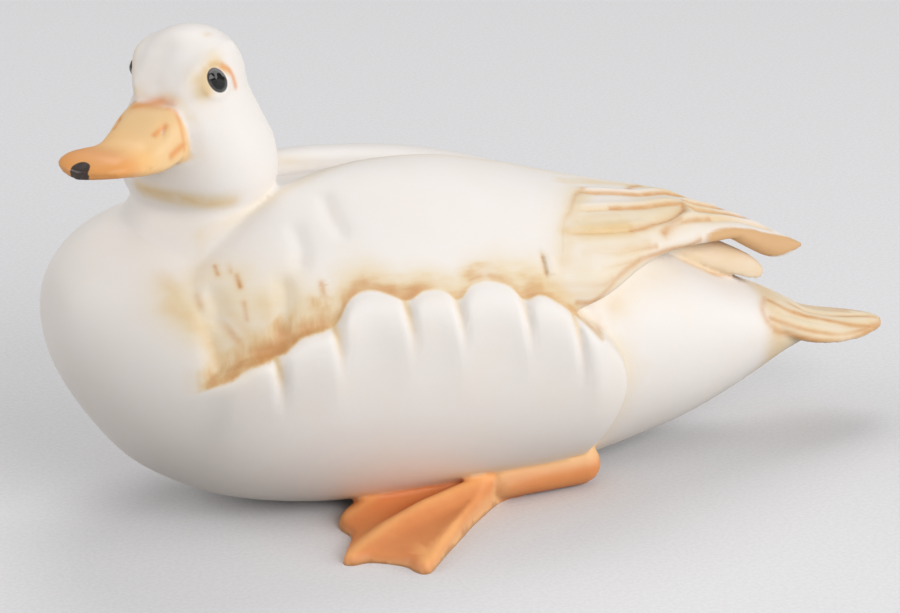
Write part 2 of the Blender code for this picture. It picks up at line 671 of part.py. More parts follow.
def main():
    for obj in list(bpy.data.objects):
        bpy.data.objects.remove(obj)
    forms = [body_shell("body", 0), head_shell("head", 0), bill(), eye(1), eye(-1)]
    forms += [wing("near wing", NEAR_WING, -1), wing("far wing", FAR_WING, 1), tip_curl(), tail()]
    forms += foot(-1, 1.0) + foot(1, 1.0)
    duck = fuse("duck", forms, VOXEL, SMOOTH_PASSES)
    carve(duck)
    thin_out(duck, MOST_TRIANGLES)
    cut(duck, ground(), "flat base")
    cut(duck, cavity(), "hollow")
    cut(duck, vent(), "vent")
    duck.data.shade_smooth()
    duck.data.materials.clear()
    duck.data.materials.append(bisque())
    collection_for("duck", duck)


main()
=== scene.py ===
"""A dressed model of the resting bisque duck, laid out as a Blender add-on.

The duck lies along X and looks towards -X, its own left side at -Y and its head turned to the
left. Lengths in the tables and in the sculpting are millimetres; MM turns them into metres.
"""
import math

import bmesh
import bpy
import numpy as np
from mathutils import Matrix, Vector
from mathutils.bvhtree import BVHTree


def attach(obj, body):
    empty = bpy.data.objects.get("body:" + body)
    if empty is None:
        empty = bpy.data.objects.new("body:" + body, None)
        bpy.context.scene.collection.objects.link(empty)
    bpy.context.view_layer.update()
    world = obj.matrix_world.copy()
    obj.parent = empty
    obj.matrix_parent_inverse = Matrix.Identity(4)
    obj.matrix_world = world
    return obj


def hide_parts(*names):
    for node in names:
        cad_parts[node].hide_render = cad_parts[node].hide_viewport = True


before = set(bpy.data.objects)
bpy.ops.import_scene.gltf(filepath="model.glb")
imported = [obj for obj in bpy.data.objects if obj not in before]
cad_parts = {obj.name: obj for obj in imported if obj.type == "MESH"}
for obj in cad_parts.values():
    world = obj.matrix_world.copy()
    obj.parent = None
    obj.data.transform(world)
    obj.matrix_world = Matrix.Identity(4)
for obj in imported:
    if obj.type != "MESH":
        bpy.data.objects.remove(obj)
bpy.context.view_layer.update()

bl_info = {
    "name": "Bisque duck",
    "version": (1, 0, 0),
    "blender": (4, 5, 0),
    "location": "3D View > Sidebar > Duck",
    "description": "A hand-tinted bisque duck at rest, with its studio",
    "category": "Object",
}

MM = 0.001

# How finely each form is modelled: points round a section, and how many sections.
BODY_GRID = (300, 520)
HEAD_GRID = (90, 140)
BILL_GRID = (96, 120)
TAIL_GRID = (72, 110)
BAR_GRID = (36, 90)
WING_SLICES, INNER_POINTS, OUTER_POINTS = 260, 17, 65
SHANK_POINTS = 32

# Body, as sections across X: place, back, belly, half width, height of the widest point.
BODY_SECTIONS = (
    (-93.5, 59.0, 57.0, 1.0, 58.0),
    (-92.6, 66.0, 49.0, 9.0, 57.5),
    (-89.5, 72.0, 40.5, 17.0, 56.5),
    (-83.0, 78.0, 29.5, 26.5, 54.5),
    (-74.0, 82.5, 18.5, 34.5, 52.5),
    (-62.0, 85.5, 10.5, 40.0, 50.0),
    (-48.0, 86.5, 4.5, 42.3, 47.5),
    (-28.0, 86.5, 0.2, 43.3, 45.0),
    (-6.0, 86.0, -1.4, 43.8, 43.0),
    (16.0, 83.5, -1.5, 43.5, 41.5),
    (34.0, 79.0, -1.2, 42.6, 39.5),
    (46.0, 74.5, 0.2, 41.0, 37.5),
    (56.0, 69.5, 2.0, 38.0, 36.5),
    (68.0, 62.5, 4.4, 33.5, 35.0),
    (81.0, 55.5, 7.2, 27.5, 33.0),
    (93.0, 48.6, 11.0, 21.5, 31.5),
    (104.0, 43.0, 15.5, 16.5, 30.5),
    (113.0, 38.5, 20.6, 13.5, 29.5),
    (120.0, 34.5, 23.8, 10.5, 28.5),
    (125.0, 31.0, 25.5, 4.0, 28.0),
)

# Neck and head, as level sections: height, centre along X and Y, half depth, half width.
HEAD_YAW = 39.0
HEAD_SECTIONS = (
    (66.0, -48.0, 0.0, 33.0, 32.0),
    (76.0, -49.5, -0.5, 28.0, 28.0),
    (83.0, -50.0, -1.5, 23.5, 22.0),
    (88.0, -51.2, -2.6, 19.6, 18.6),
    (91.5, -52.3, -3.4, 19.4, 19.2),
    (96.0, -52.7, -3.7, 20.6, 20.0),
    (103.0, -53.3, -4.0, 20.4, 19.2),
    (110.0, -54.3, -4.8, 18.6, 16.3),
    (117.0, -55.1, -5.2, 16.6, 13.7),
    (122.5, -55.2, -5.3, 15.6, 12.9),
    (127.3, -55.4, -5.0, 13.2, 11.4),
    (130.8, -55.4, -5.0, 9.0, 7.8),
    (132.5, -55.4, -5.0, 4.6, 4.0),
    (133.0, -55.4, -5.0, 0.5, 0.5),
)

# Bill, as sections along its own axis: distance from the middle of the head, half width, and
# the heights of the culmen and of the edge along its sides over the middle of the head.
HEAD_MIDDLE = (-56.0, -5.0, 118.0)
BILL_SECTIONS = (
    (6.0, 9.0, -0.3, -12.6),
    (12.0, 9.6, -0.6, -13.0),
    (16.0, 9.8, -1.3, -13.7),
    (20.0, 9.6, -2.7, -14.6),
    (24.0, 9.2, -5.2, -15.0),
    (28.0, 8.9, -7.3, -14.5),
    (32.0, 9.1, -7.8, -13.8),
    (36.0, 9.5, -7.4, -12.8),
    (40.0, 9.8, -7.0, -11.8),
    (43.5, 9.4, -7.2, -11.1),
    (46.0, 7.8, -8.0, -10.7),
    (48.2, 5.0, -9.0, -10.5),
    (49.5, 0.8, -10.0, -10.5),
)
BILL_SQUARENESS = 0.67
BILL_BELLY = 1.2
NAIL_PLACE = (47.6, 0.2, -10.3)
NAIL_EDGE = (3.0, 2.7)

# Rims and sockets round the eyes, as height, distance from the eye's middle and width.
EYE_RIM = (0.22, 4.0, 0.8)
EYE_SOCKET = (-0.15, 6.4, 2.2)
EYE_FLATNESS = 0.9

# Nostrils: place ahead and up, half length, half height and slant. Then the line where the bill closes.
NOSTRIL_PLACE = (21.6, -5.5)
NOSTRIL_SIZE = (0.9, 1.3)
NOSTRIL_SLANT = 0.9
NOSTRIL_DEPTH = 0.8
CLOSING_DEPTH, CLOSING_WIDTH, CLOSING_DROP = 0.45, 0.6, 0.1
CLOSING_FROM = 16

# Eyes, as balls set in the head: forward, out and up from the middle of the head.
EYE_PLACE = (5.2, 10.2, 4.0)
EYE_RADIUS = 3.0

# Folded wings, as sections across X: place, inner edge out and up, ridge out and up, lower edge
# out and up, thickness. The left wing's blade lies over the right one's above the rump.
NEAR_WING = (
    (-68.0, 29.0, 65.5, 30.0, 66.0, 34.0, 58.0, 8.0),
    (-60.0, 22.0, 75.5, 26.0, 77.0, 37.5, 52.0, 14.0),
    (-46.0, 14.0, 84.0, 19.0, 86.5, 41.0, 50.0, 18.0),
    (-29.0, 8.0, 88.5, 13.0, 91.2, 41.8, 52.0, 18.0),
    (-10.0, 3.5, 89.5, 7.5, 92.6, 42.0, 54.0, 18.0),
    (12.0, -1.5, 88.0, 1.5, 90.0, 41.6, 53.0, 16.0),
    (32.0, -5.0, 83.5, -3.0, 84.5, 39.4, 55.0, 12.0),
    (44.6, -7.0, 79.5, -5.0, 80.3, 37.4, 57.4, 9.0),
    (52.5, -8.0, 77.0, -6.0, 77.8, 33.8, 59.2, 10.0),
    (60.0, -8.5, 74.8, -6.5, 75.6, 29.2, 61.2, 11.0),
    (70.0, -9.0, 72.0, -7.0, 72.9, 23.3, 62.4, 10.5),
    (80.0, -9.0, 69.0, -7.0, 70.2, 18.0, 61.8, 7.5),
    (90.0, -9.0, 65.4, -7.0, 66.2, 13.0, 60.4, 3.6),
    (100.0, -8.5, 61.2, -6.5, 62.0, 8.0, 58.6, 3.2),
    (110.0, -7.0, 56.5, -5.5, 57.3, 3.5, 54.9, 3.0),
    (118.0, -5.0, 52.5, -4.0, 53.1, 0.0, 51.4, 2.2),
    (124.3, -3.4, 49.5, -3.0, 49.7, -2.0, 49.3, 0.8),
)
FAR_WING = (
    (-68.0, 29.0, 65.5, 30.0, 66.0, 34.0, 58.0, 8.0),
    (-60.0, 22.0, 75.5, 26.0, 77.0, 37.5, 52.0, 14.0),
    (-46.0, 15.0, 84.0, 20.0, 86.0, 41.0, 50.0, 18.0),
    (-24.0, 10.0, 87.0, 16.0, 89.8, 41.8, 52.0, 18.0),
    (-7.0, 8.0, 86.5, 14.5, 89.6, 42.0, 54.0, 18.0),
    (12.0, 5.0, 85.0, 12.5, 87.6, 41.6, 53.0, 16.0),
    (32.0, 1.0, 80.5, 9.0, 83.0, 39.8, 50.0, 12.0),
    (44.6, -2.0, 75.5, 6.0, 78.0, 37.4, 56.4, 9.0),
    (56.0, -5.0, 69.5, 5.0, 72.8, 31.5, 57.8, 8.4),
    (68.0, -7.0, 62.6, 4.0, 67.6, 24.6, 58.0, 7.8),
    (80.0, -8.0, 56.4, 3.0, 62.6, 18.5, 55.8, 7.0),
    (91.0, -7.2, 50.4, 1.5, 57.4, 12.0, 51.4, 6.0),
    (100.0, -6.4, 46.2, -1.0, 53.4, 5.5, 48.2, 5.0),
    (106.0, -5.4, 44.0, -2.4, 50.0, 1.2, 46.0, 3.8),
    (109.5, -4.0, 44.0, -3.2, 46.6, -2.4, 45.0, 1.2),
)

# The most of the way from a wing's surface to the middle of its section that its thickness takes.
WING_CORE = 0.8
LIP_BULGE = 1.4
LIP_POINTS = 9

# The curl under the near wing's tip, as sections across X: place, out, height, half width, half height.
TIP_CURL = (
    (92.0, 4.0, 60.5, 2.0, 1.0),
    (98.0, 4.2, 59.0, 3.2, 2.2),
    (105.0, 2.8, 55.6, 3.6, 3.2),
    (112.0, 0.2, 51.8, 3.4, 3.4),
    (118.0, -2.0, 49.7, 2.6, 2.6),
    (123.6, -2.8, 49.3, 1.0, 0.9),
)

# Tail, as sections across X: place, middle height, half width, half thickness, droop of the edges.
TAIL = (
    (104.0, 33.0, 13.0, 6.0, 0.0),
    (112.0, 32.5, 14.0, 4.6, 1.5),
    (120.0, 30.5, 13.8, 3.2, 3.0),
    (128.0, 28.5, 12.6, 2.2, 3.2),
    (136.0, 27.2, 10.2, 1.8, 2.8),
    (142.0, 26.3, 7.2, 1.5, 2.0),
    (146.5, 25.2, 3.8, 1.3, 1.0),
    (148.5, 24.4, 1.0, 0.8, 0.2),
)
TAIL_SQUARENESS = 0.6

# Foot: its outline on the ground as (X, out), and its toes as lines of (X, out, height).
FOOT_OUTLINE = (
    (29.0, 25.5), (21.6, 27.5), (10.5, 37.6), (4.1, 44.6), (-6.1, 56.0), (-12.6, 63.6), (-15.4, 64.2),
    (-17.0, 61.4), (-17.8, 58.2), (-21.6, 54.6), (-25.8, 52.2), (-29.8, 52.6), (-32.0, 51.0),
    (-31.4, 48.2), (-27.9, 41.9), (-24.4, 35.4), (-25.2, 30.4), (-24.4, 25.9), (-21.4, 21.7),
    (-16.2, 18.0), (-8.0, 16.0), (6.0, 16.0), (20.0, 18.0), (28.0, 20.0),
)
TOES = (
    ((-13.8, 62.2, 3.0), (-5.8, 54.4, 4.4), (5.0, 44.6, 6.2), (13.5, 36.6, 7.8), (22.0, 29.0, 9.0)),
    ((-30.2, 50.2, 3.0), (-16.5, 40.6, 5.2), (-4.6, 35.0, 7.0), (8.0, 31.0, 8.4), (22.0, 28.0, 9.0)),
    ((-23.4, 27.6, 3.2), (-16.0, 24.0, 4.8), (-6.0, 22.4, 6.6), (8.0, 23.4, 8.0), (22.0, 26.0, 9.0)),
)
TOE_WIDTH = 3.4
WEB_AT_TIPS = 2.0
WEB_SLOPE = 0.075
FOOT_EDGE = 1.8
ANKLE = (22.0, 26.5, 5.0)
HOCK = (45.5, 24.0, 6.0)
HOCK_RADIUS = 5.8
SHANK_RADIUS = 4.4
FOOT_SUNK = 2.5
OUTLINE_POINTS = 96
FOOT_MARGIN = 2.0
FOOT_GRID = 0.6
TOE_TIPS_AT = -29.8

# Flank feathers: the scalloped line where they lap over the wing, as (X, height).
SCALLOPS = (
    (-66.0, 48.5), (-59.0, 52.0), (-52.0, 55.5), (-46.5, 56.8), (-39.0, 61.0), (-33.0, 62.0),
    (-30.0, 62.5), (-26.5, 67.5), (-21.0, 70.2), (-15.0, 68.6), (-11.0, 66.5), (-5.0, 68.2),
    (1.0, 66.6), (3.0, 64.8), (8.0, 67.6), (14.0, 67.6), (20.0, 64.4), (21.5, 62.5),
    (27.0, 62.6), (33.0, 59.0), (38.0, 54.5), (44.0, 48.0),
)
GROOVES = (-46.5, -30.5, -11.0, 3.0, 21.5, 36.0)
LOBE_RISE = 3.4
LOBE_RISE_PER_HEIGHT = 0.15
LOBE_BASE = 54.0
LOBE_REACH = 14.0
LOBE_ROUNDING = 1.6
LOBE_ROUNDED_SHARE = 0.5
LOBE_FADE = 3.0
LOBE_CLEAR_OF_BREAST = 4.0
TUCK_UNDER_WING = 3.5
TUCK_EDGE = 0.6
GROOVE_DEPTH = 2.3
GROOVE_WIDTH = 1.6
GROOVE_LEAN = 0.12
GROOVE_REACH = 11.2

# How far from the middle of the back the flank's relief starts, and over what width it comes in.
SPINE_CLEAR = 18.0
SPINE_BLEND = 6.0

# Rear edge of the flank feathers over the abdomen, as (height, X), and how far it stands out.
FLANK_REAR = (
    (0.0, 43.0), (8.0, 46.0), (16.0, 49.0), (24.0, 52.0), (33.0, 53.5), (41.0, 51.0),
    (50.0, 43.5), (58.0, 35.0),
)
FLANK_STEP = 5.0
FLANK_STEP_WIDTH = 0.9
ABDOMEN_REACH = 42.0

# Feather edges carved in a wing, as lines of (X, out, height) on the near wing.
WING_LINES = (
    ((51.8, 8.3, 76.5), (62.2, 4.6, 74.1), (72.3, 2.1, 71.6), (82.5, -3.7, 68.8), (89.0, -5.5, 66.6)),
    ((45.7, 18.8, 75.2), (57.9, 14.2, 73.1), (68.3, 10.8, 71.1), (78.0, 5.9, 69.2), (84.9, 2.2, 67.4)),
    ((84.9, 2.2, 67.4), (82.5, 7.7, 67.2), (76.4, 13.8, 67.3), (67.7, 18.6, 68.2)),
    ((84.9, 3.5, 67.0), (89.8, 3.3, 65.5), (99.2, -0.3, 62.0), (107.3, -4.2, 58.3)),
    ((86.6, -0.8, 67.2), (92.2, -1.6, 65.1), (99.8, -4.7, 62.0)),
    ((39.2, 27.1, 72.3), (50.3, 24.9, 70.5), (60.4, 21.7, 69.0), (67.7, 18.6, 68.2)),
    ((75.1, 16.7, 66.4), (80.8, 12.7, 66.1), (90.9, 7.3, 64.0), (103.1, 1.1, 60.0), (114.0, -2.0, 55.0)),
    ((29.9, 33.0, 69.8), (30.1, 34.5, 67.4), (30.0, 36.0, 64.9)),
)

# Soft edges that stand out less, in the same way.
SOFT_LINES = (
    ((44.6, 31.1, 67.4), (52.6, 29.3, 66.0), (60.3, 26.4, 65.2), (66.8, 23.8, 64.4)),
    ((46.5, 33.4, 64.0), (51.5, 31.8, 63.7), (56.9, 29.6, 63.3)),
    ((53.7, 5.8, 76.8), (49.0, 11.3, 76.7), (44.1, 19.2, 75.6), (39.1, 25.3, 73.7), (35.2, 33.2, 67.4)),
)

# Soft dents pressed in the front of a wing, in the same way.
WING_DENTS = (
    ((-36.0, 29.6, 83.6), (-35.6, 33.0, 79.8), (-36.5, 34.7, 77.3)),
    ((-42.2, 36.8, 72.6), (-42.0, 38.3, 69.1), (-44.1, 40.1, 62.0)),
    ((-59.7, 33.8, 71.3), (-59.0, 35.5, 68.3), (-59.6, 36.3, 65.5)),
    ((-25.7, 23.1, 88.8), (-25.9, 27.3, 86.1), (-24.5, 30.7, 83.0)),
)
DENT_DEPTH = 0.9
DENT_WIDTH = 2.6
DENT_REACH = 9.0

# A feather edge across its line: the crest's place and width, the carved line's, and the share,
# place and width of the hollow under it. Then how soon it fades in from its ends.
LINE_REACH = 6.0
CREST_AT, CREST_WIDTH = 1.7, 1.5
CARVED_AT, CARVED_WIDTH = 0.2, 1.0
HOLLOW_SHARE, HOLLOW_AT, HOLLOW_WIDTH = 0.5, 1.6, 1.6
END_SLOPE, END_SHARE = 8, 0.15
SOFT_SHARE = 0.25
TAIL_LINE_SHARE, TAIL_LINE_WIDTH = 0.7, 0.9

# Where fine facets are kept: how far from a feather edge, and how much wider than the strokes.
DETAIL_REACH, DETAIL_WIDTH = 5, 2.2
RUST_SPREAD, TAIL_SPREAD, HEAD_SPREAD = 2.4, 2.2, 2.0
DETAIL_GAIN = 1.3
HALO_SPREAD = 2.1

# Which skin belongs to a wing: the near one's lies below this Y, the far one's over that.
NEAR_WING_TO = 12
FAR_WING_FROM = 6
MIRRORED = (1, -1, 1)

# Feather edges carved in the tail, as lines of (X, out, height).
TAIL_LINES = (
    ((108.0, 10.8, 36.0), (114.6, 10.3, 34.1), (125.1, 9.0, 30.1), (134.6, 8.2, 27.3), (141.5, 6.5, 25.8)),
    ((112.0, 5.6, 36.5), (120.5, 4.9, 33.5), (133.5, 3.4, 29.3), (142.5, 2.0, 27.4)),
)

# Painted strokes on a wing: width, strength, and a line of (X, out, height) on the near wing.
RUST_STROKES = (
    (0.8, 0.35, ((39.1, 25.3, 73.7), (44.1, 19.2, 75.6), (49.0, 11.3, 76.7), (53.7, 5.8, 76.8))),
    (0.75, 0.8, WING_LINES[0]),
    (0.75, 0.85, ((57.9, 14.2, 73.1), (68.3, 10.8, 71.1), (78.0, 5.9, 69.2), (84.9, 2.2, 67.4))),
    (0.9, 0.9, (
        (84.9, 2.2, 67.4), (82.5, 7.7, 67.2), (76.4, 13.8, 67.3), (67.7, 18.6, 68.2), (60.4, 21.7, 69.0),
    )),
    (1.3, 0.8, ((71.1, 20.1, 66.6), (74.6, 16.5, 66.8), (78.5, 13.2, 67.0))),
    (0.75, 0.8, WING_LINES[3]),
    (0.7, 0.8, ((86.6, -0.8, 67.2), (92.2, -1.6, 65.1), (99.8, -4.7, 62.0), (112.0, -6.0, 56.0))),
    (0.75, 0.8, ((75.1, 16.7, 66.4), (80.8, 12.7, 66.1), (90.9, 7.3, 64.0))),
    (0.7, 0.85, ((52.0, 29.5, 66.2), (60.3, 26.4, 65.2), (66.8, 23.8, 64.4))),
    (0.65, 0.8, ((51.5, 31.8, 63.7), (56.9, 29.6, 63.3))),
    (0.75, 0.85, ((31.0, 36.8, 63.0), (36.6, 36.6, 61.7), (45.5, 35.8, 60.5), (49.6, 34.2, 61.1))),
    (0.8, 0.8, (
        (38.0, 38.4, 57.6), (43.0, 37.6, 57.0), (49.6, 34.4, 60.6), (54.5, 31.7, 62.2), (60.0, 28.5, 63.2),
    )),
    (0.75, 0.75, (
        (60.0, 28.5, 63.2), (66.6, 24.8, 62.8), (72.1, 22.0, 62.4), (78.6, 18.1, 61.3), (83.9, 15.8, 61.6),
    )),
    (0.6, 0.6, ((29.9, 33.4, 69.8), (29.7, 34.8, 67.6), (29.9, 36.3, 65.2))),
    (0.8, 0.8, ((69.6, 0.1, 72.7), (72.0, -3.0, 72.0), (75.8, -5.6, 71.3))),
    (0.5, 0.7, ((-57.6, 29.5, 77.2), (-57.4, 31.2, 75.5))),
    (0.5, 0.7, ((-54.6, 31.6, 78.0), (-54.4, 32.6, 76.4))),
    (0.6, 0.95, ((-53.2, 33.6, 75.6), (-52.8, 34.8, 73.0))),
    (0.9, 0.3, ((-63.4, 32.0, 71.0), (-62.8, 33.4, 68.5))),
    (1.0, 0.5, ((-60.0, 35.2, 70.0), (-59.0, 36.8, 67.0))),
    (1.0, 0.6, ((-58.0, 37.4, 64.5), (-55.0, 38.6, 60.0))),
    (0.6, 0.5, ((-52.4, 36.4, 69.0), (-52.2, 37.6, 65.0))),
    (0.6, 0.7, ((-32.3, 37.6, 72.0), (-32.0, 38.4, 69.0))),
)
TAN_STROKES = (
    (2.4, 0.85, ((39.2, 27.1, 72.3), (44.0, 26.2, 71.5), (52.0, 24.0, 70.6), (60.0, 21.7, 69.4))),
    (1.6, 0.3, ((39.2, 27.1, 72.3), (48.0, 21.0, 73.6), (58.0, 16.8, 71.8))),
    (2.4, 0.45, ((53.0, 7.0, 76.0), (46.0, 17.0, 74.8), (41.5, 26.0, 72.0), (36.0, 33.0, 67.0))),
    (2.0, 0.5, ((84.0, 4.5, 67.0), (79.0, 11.0, 67.2), (72.0, 16.0, 68.0))),
    (2.0, 0.6, ((42.6, 31.1, 67.4), (54.0, 28.5, 66.0), (64.0, 24.5, 65.0))),
    (1.6, 0.5, ((28.0, 37.2, 64.0), (36.0, 37.6, 60.0), (44.0, 36.6, 58.8))),
    (2.6, 0.6, ((52.0, 33.0, 53.0), (57.0, 31.5, 56.0), (62.0, 28.0, 58.5), (70.0, 22.6, 60.5))),
    (1.8, 0.35, ((75.0, 20.0, 61.0), (80.0, 17.0, 59.5))),
    (2.0, 0.5, ((-58.0, 36.8, 70.0), (-54.0, 38.6, 64.0), (-50.0, 39.6, 60.0))),
    (2.2, 0.55, ((-70.0, 30.0, 68.0), (-66.0, 33.4, 65.5), (-62.0, 36.0, 60.0), (-60.0, 38.0, 55.0))),
    (1.6, 0.4, ((-71.0, 26.0, 76.0), (-68.0, 29.0, 71.0))),
    (1.8, 0.45, ((-48.0, 38.5, 70.0), (-46.0, 40.0, 62.0))),
)
CREAM_STROKES = (
    (8.0, 0.95, ((46.0, 25.0, 71.0), (62.0, 18.0, 69.0), (78.0, 8.0, 67.0), (92.0, 2.0, 63.0))),
    (7.0, 0.7, ((40.0, 34.0, 64.5), (46.0, 34.0, 61.0), (58.0, 28.0, 63.5))),
    (4.0, 0.7, ((52.0, 8.0, 76.0), (44.0, 20.0, 75.0), (38.0, 29.0, 71.0), (33.0, 36.0, 64.0))),
    (6.0, 0.5, ((54.0, 33.0, 54.0), (64.0, 27.0, 57.0), (76.0, 18.0, 58.5))),
    (6.5, 0.95, ((-68.0, 31.0, 69.5), (-62.0, 35.0, 63.0), (-57.0, 38.5, 57.0))),
    (4.5, 0.6, ((-71.0, 27.0, 73.0), (-66.0, 29.0, 72.0), (-60.0, 29.0, 76.0))),
    (7.0, 0.85, ((-57.0, 36.0, 70.0), (-50.0, 37.5, 68.0), (-42.0, 38.5, 70.0))),
    (5.0, 0.6, ((-59.0, 30.0, 75.0), (-52.0, 34.0, 75.0))),
    (2.0, 0.45, (
        (-59.0, 22.5, 83.0), (-52.3, 22.4, 85.4), (-45.0, 20.5, 87.4),
        (-37.1, 17.3, 89.3), (-29.0, 13.7, 91.0),
    )),
    (2.2, 0.45, ((-29.0, 13.7, 91.0), (-15.6, 6.9, 92.1), (0.0, 3.0, 91.0), (12.0, 0.0, 89.0))),
    (2.6, 0.45, ((12.0, 0.0, 89.0), (32.0, -4.0, 84.0), (52.5, -7.0, 77.6))),
    (2.0, 0.9, ((50.0, 2.0, 78.0), (62.9, -3.4, 74.7), (75.3, -4.5, 71.5), (88.0, -6.0, 67.0))),
)
TAIL_STROKES = (
    (1.1, 0.55, ((107.8, 8.3, 39.3), (104.9, 12.3, 38.1), (105.8, 14.4, 34.6), (109.7, 14.3, 31.1))),
    (0.8, 0.9, (
        (108.6, 8.7, 38.7), (115.3, 9.0, 34.4), (125.9, 6.9, 30.4), (135.1, 7.3, 27.2), (142.0, 6.3, 25.4),
    )),
    (0.8, 0.8, (
        (106.9, 13.5, 35.3), (116.2, 13.6, 31.1), (126.3, 12.2, 27.8),
        (133.2, 10.9, 26.4), (141.0, 7.0, 25.4),
    )),
    (1.0, 0.95, (
        (107.9, 14.7, 32.1), (116.1, 14.0, 28.4), (123.9, 13.8, 26.0),
        (132.6, 12.2, 25.1), (142.0, 7.5, 24.9),
    )),
    (0.7, 0.7, ((112.0, 5.6, 36.5), (120.5, 4.9, 33.5), (133.5, 3.8, 29.2), (146.0, 2.0, 26.0))),
    (0.7, 0.4, ((110.0, 1.0, 36.5), (124.4, 0.6, 31.9), (138.0, 0.8, 28.6))),
    (1.3, 0.8, ((143.0, 6.0, 25.0), (146.6, 4.0, 24.8), (148.4, 0.0, 24.8))),
)

# Soft folds of the head: how far each stands out, how wide it is, and its line of (ahead, aside, up).
HEAD_FOLDS = (
    (1.35, 2.4, (
        (15.2, 5.6, 0.6), (12.4, 8.0, 5.0), (8.4, 9.8, 8.8), (2.4, 11.0, 11.2), (-4.0, 11.0, 10.8),
    )),
    (-1.1, 3.4, ((15.4, 0.0, 4.5), (14.0, 0.0, 8.0), (11.0, 0.0, 11.5))),
    (-0.4, 2.2, ((13.6, 8.8, -1.6), (10.6, 10.8, -0.6), (6.0, 12.6, -1.6))),
    (0.35, 3.0, ((10.0, 12.4, -8.0), (3.0, 15.2, -9.0))),
)

# Painted strokes on the head, each of (ahead, aside, up) from the middle of the head.
HEAD_TAN = (
    (1.3, 0.75, ((8.0, 10.6, 7.1), (8.9, 10.6, 4.8), (8.4, 11.5, 1.7))),
    (2.0, 0.35, ((9.4, 10.4, 5.0), (8.8, 11.0, 2.0))),
    (1.1, 0.85, ((6.6, 11.4, 8.2), (3.6, 12.4, 7.6), (1.0, 13.2, 5.4))),
    (0.9, 0.4, ((-1.0, 6.2, 13.8), (0.5, 6.4, 13.4))),
)
HEAD_ORANGE = (
    (0.9, 0.9, ((2.9, 12.7, 7.0), (0.6, 13.4, 5.4), (-0.6, 13.8, 3.2), (-1.2, 14.0, 1.0))),
    (0.75, 0.7, (
        (16.0, 4.8, -1.6), (15.4, 6.6, -2.5), (16.3, 8.5, -5.3), (16.7, 9.5, -8.9), (16.6, 9.7, -11.5),
    )),
    (1.05, 1.0, ((16.8, 9.6, -10.2), (19.4, 9.5, -10.8), (21.8, 9.2, -11.7))),
    (0.85, 0.95, ((24.0, 6.0, -6.2), (21.9, 6.3, -5.5), (20.0, 6.6, -5.0))),
)
FOREHEAD = (
    (1.45, 1.0, (
        (17.8, -4.0, -1.6), (17.0, -1.4, -1.0), (16.4, 0.6, -0.7), (15.8, 2.5, -0.4), (15.0, 5.2, 0.2),
    )),
    (2.0, 0.4, ((17.8, -3.0, -2.0), (16.8, 0.1, -1.4), (15.9, 2.5, -1.0))),
)
HEAD_CREAM = (
    (2.8, 0.9, ((10.4, 9.9, 5.0), (9.0, 11.0, 1.8), (7.6, 11.0, 6.4), (5.0, 11.6, 8.6))),
    (1.6, 0.55, ((17.2, -6.0, 0.4), (17.6, 0.0, 1.0), (15.0, 6.0, 1.0), (13.6, 10.0, -4.0))),
    (2.0, 0.6, ((12.0, 11.0, -13.0), (9.0, 13.0, -15.0))),
)
THROAT_STROKES = (
    (2.0, 0.95, (
        (-71.0, -11.6, 94.3), (-67.5, -16.8, 93.6), (-62.1, -20.6, 92.8),
        (-57.4, -22.6, 91.6), (-50.2, -23.4, 91.0),
    )),
    (1.0, 0.9, ((-64.1, -19.6, 93.2), (-57.4, -22.6, 91.6), (-52.2, -23.2, 91.0))),
)
SPECKS = (
    (0.35, 0.7, ((32.8, 9.2, -11.8), (32.7, 9.2, -12.1))),
    (0.3, 0.6, ((31.4, 9.2, -11.9), (31.3, 9.2, -12.2))),
    (0.3, 0.5, ((30.5, 9.2, -12.6), (30.4, 9.2, -12.8))),
)

# Upper edge of the brown on the near wing's tip, as (X, out), and the far tip's edges, as (X, low, high).
UNDERSIDE_FROM = (
    (80.0, 18.5), (83.9, 16.2), (88.0, 13.2), (92.0, 10.4), (96.1, 8.2), (107.7, 3.0), (126.0, -6.0),
)
FAR_TIP = (
    (72.0, 58.0, 63.0), (80.7, 52.7, 60.0), (85.0, 50.2, 58.8), (93.0, 47.5, 56.8),
    (99.4, 45.2, 54.4), (104.1, 43.2, 51.8), (110.0, 41.5, 48.4),
)

# What fills the cleft between the far wing's tip and the rump, in the same way as the curl.
TIP_BED = (
    (74.0, 3.0, 53.0, 2.5, 2.0),
    (82.0, 3.4, 51.0, 2.8, 2.0),
    (90.0, 3.4, 48.6, 2.8, 1.8),
    (96.0, 3.0, 46.4, 2.4, 1.5),
    (100.0, 2.6, 45.2, 1.2, 0.8),
)

# How strongly the valley above the flank feathers is stained and how far up, by place along X.
VALLEY_STAIN = (
    (-70.0, 0.0, 3.0), (-66.0, 0.3, 3.0), (-62.0, 0.8, 3.0), (-58.0, 0.6, 3.0), (-54.0, 0.65, 4.0),
    (-50.0, 0.85, 3.6), (-44.0, 0.95, 4.2), (-38.0, 1.0, 4.6), (-34.0, 0.95, 4.2), (-28.0, 0.85, 3.4),
    (-22.0, 0.75, 2.8), (-15.0, 0.75, 2.6),
    (-8.0, 0.95, 2.6), (-3.0, 0.6, 2.0), (4.0, 0.7, 2.6), (14.0, 0.5, 2.4), (20.0, 0.75, 3.2),
    (28.0, 0.8, 3.2), (34.0, 0.6, 2.4), (42.0, 0.4, 1.8), (50.0, 0.0, 1.5),
)
GROOVE_TINT = (0.95, 0.8, 0.85, 0.45, 0.35, 0.7)
GROOVE_STREAK, STREAK_REACH = 0.8, 8

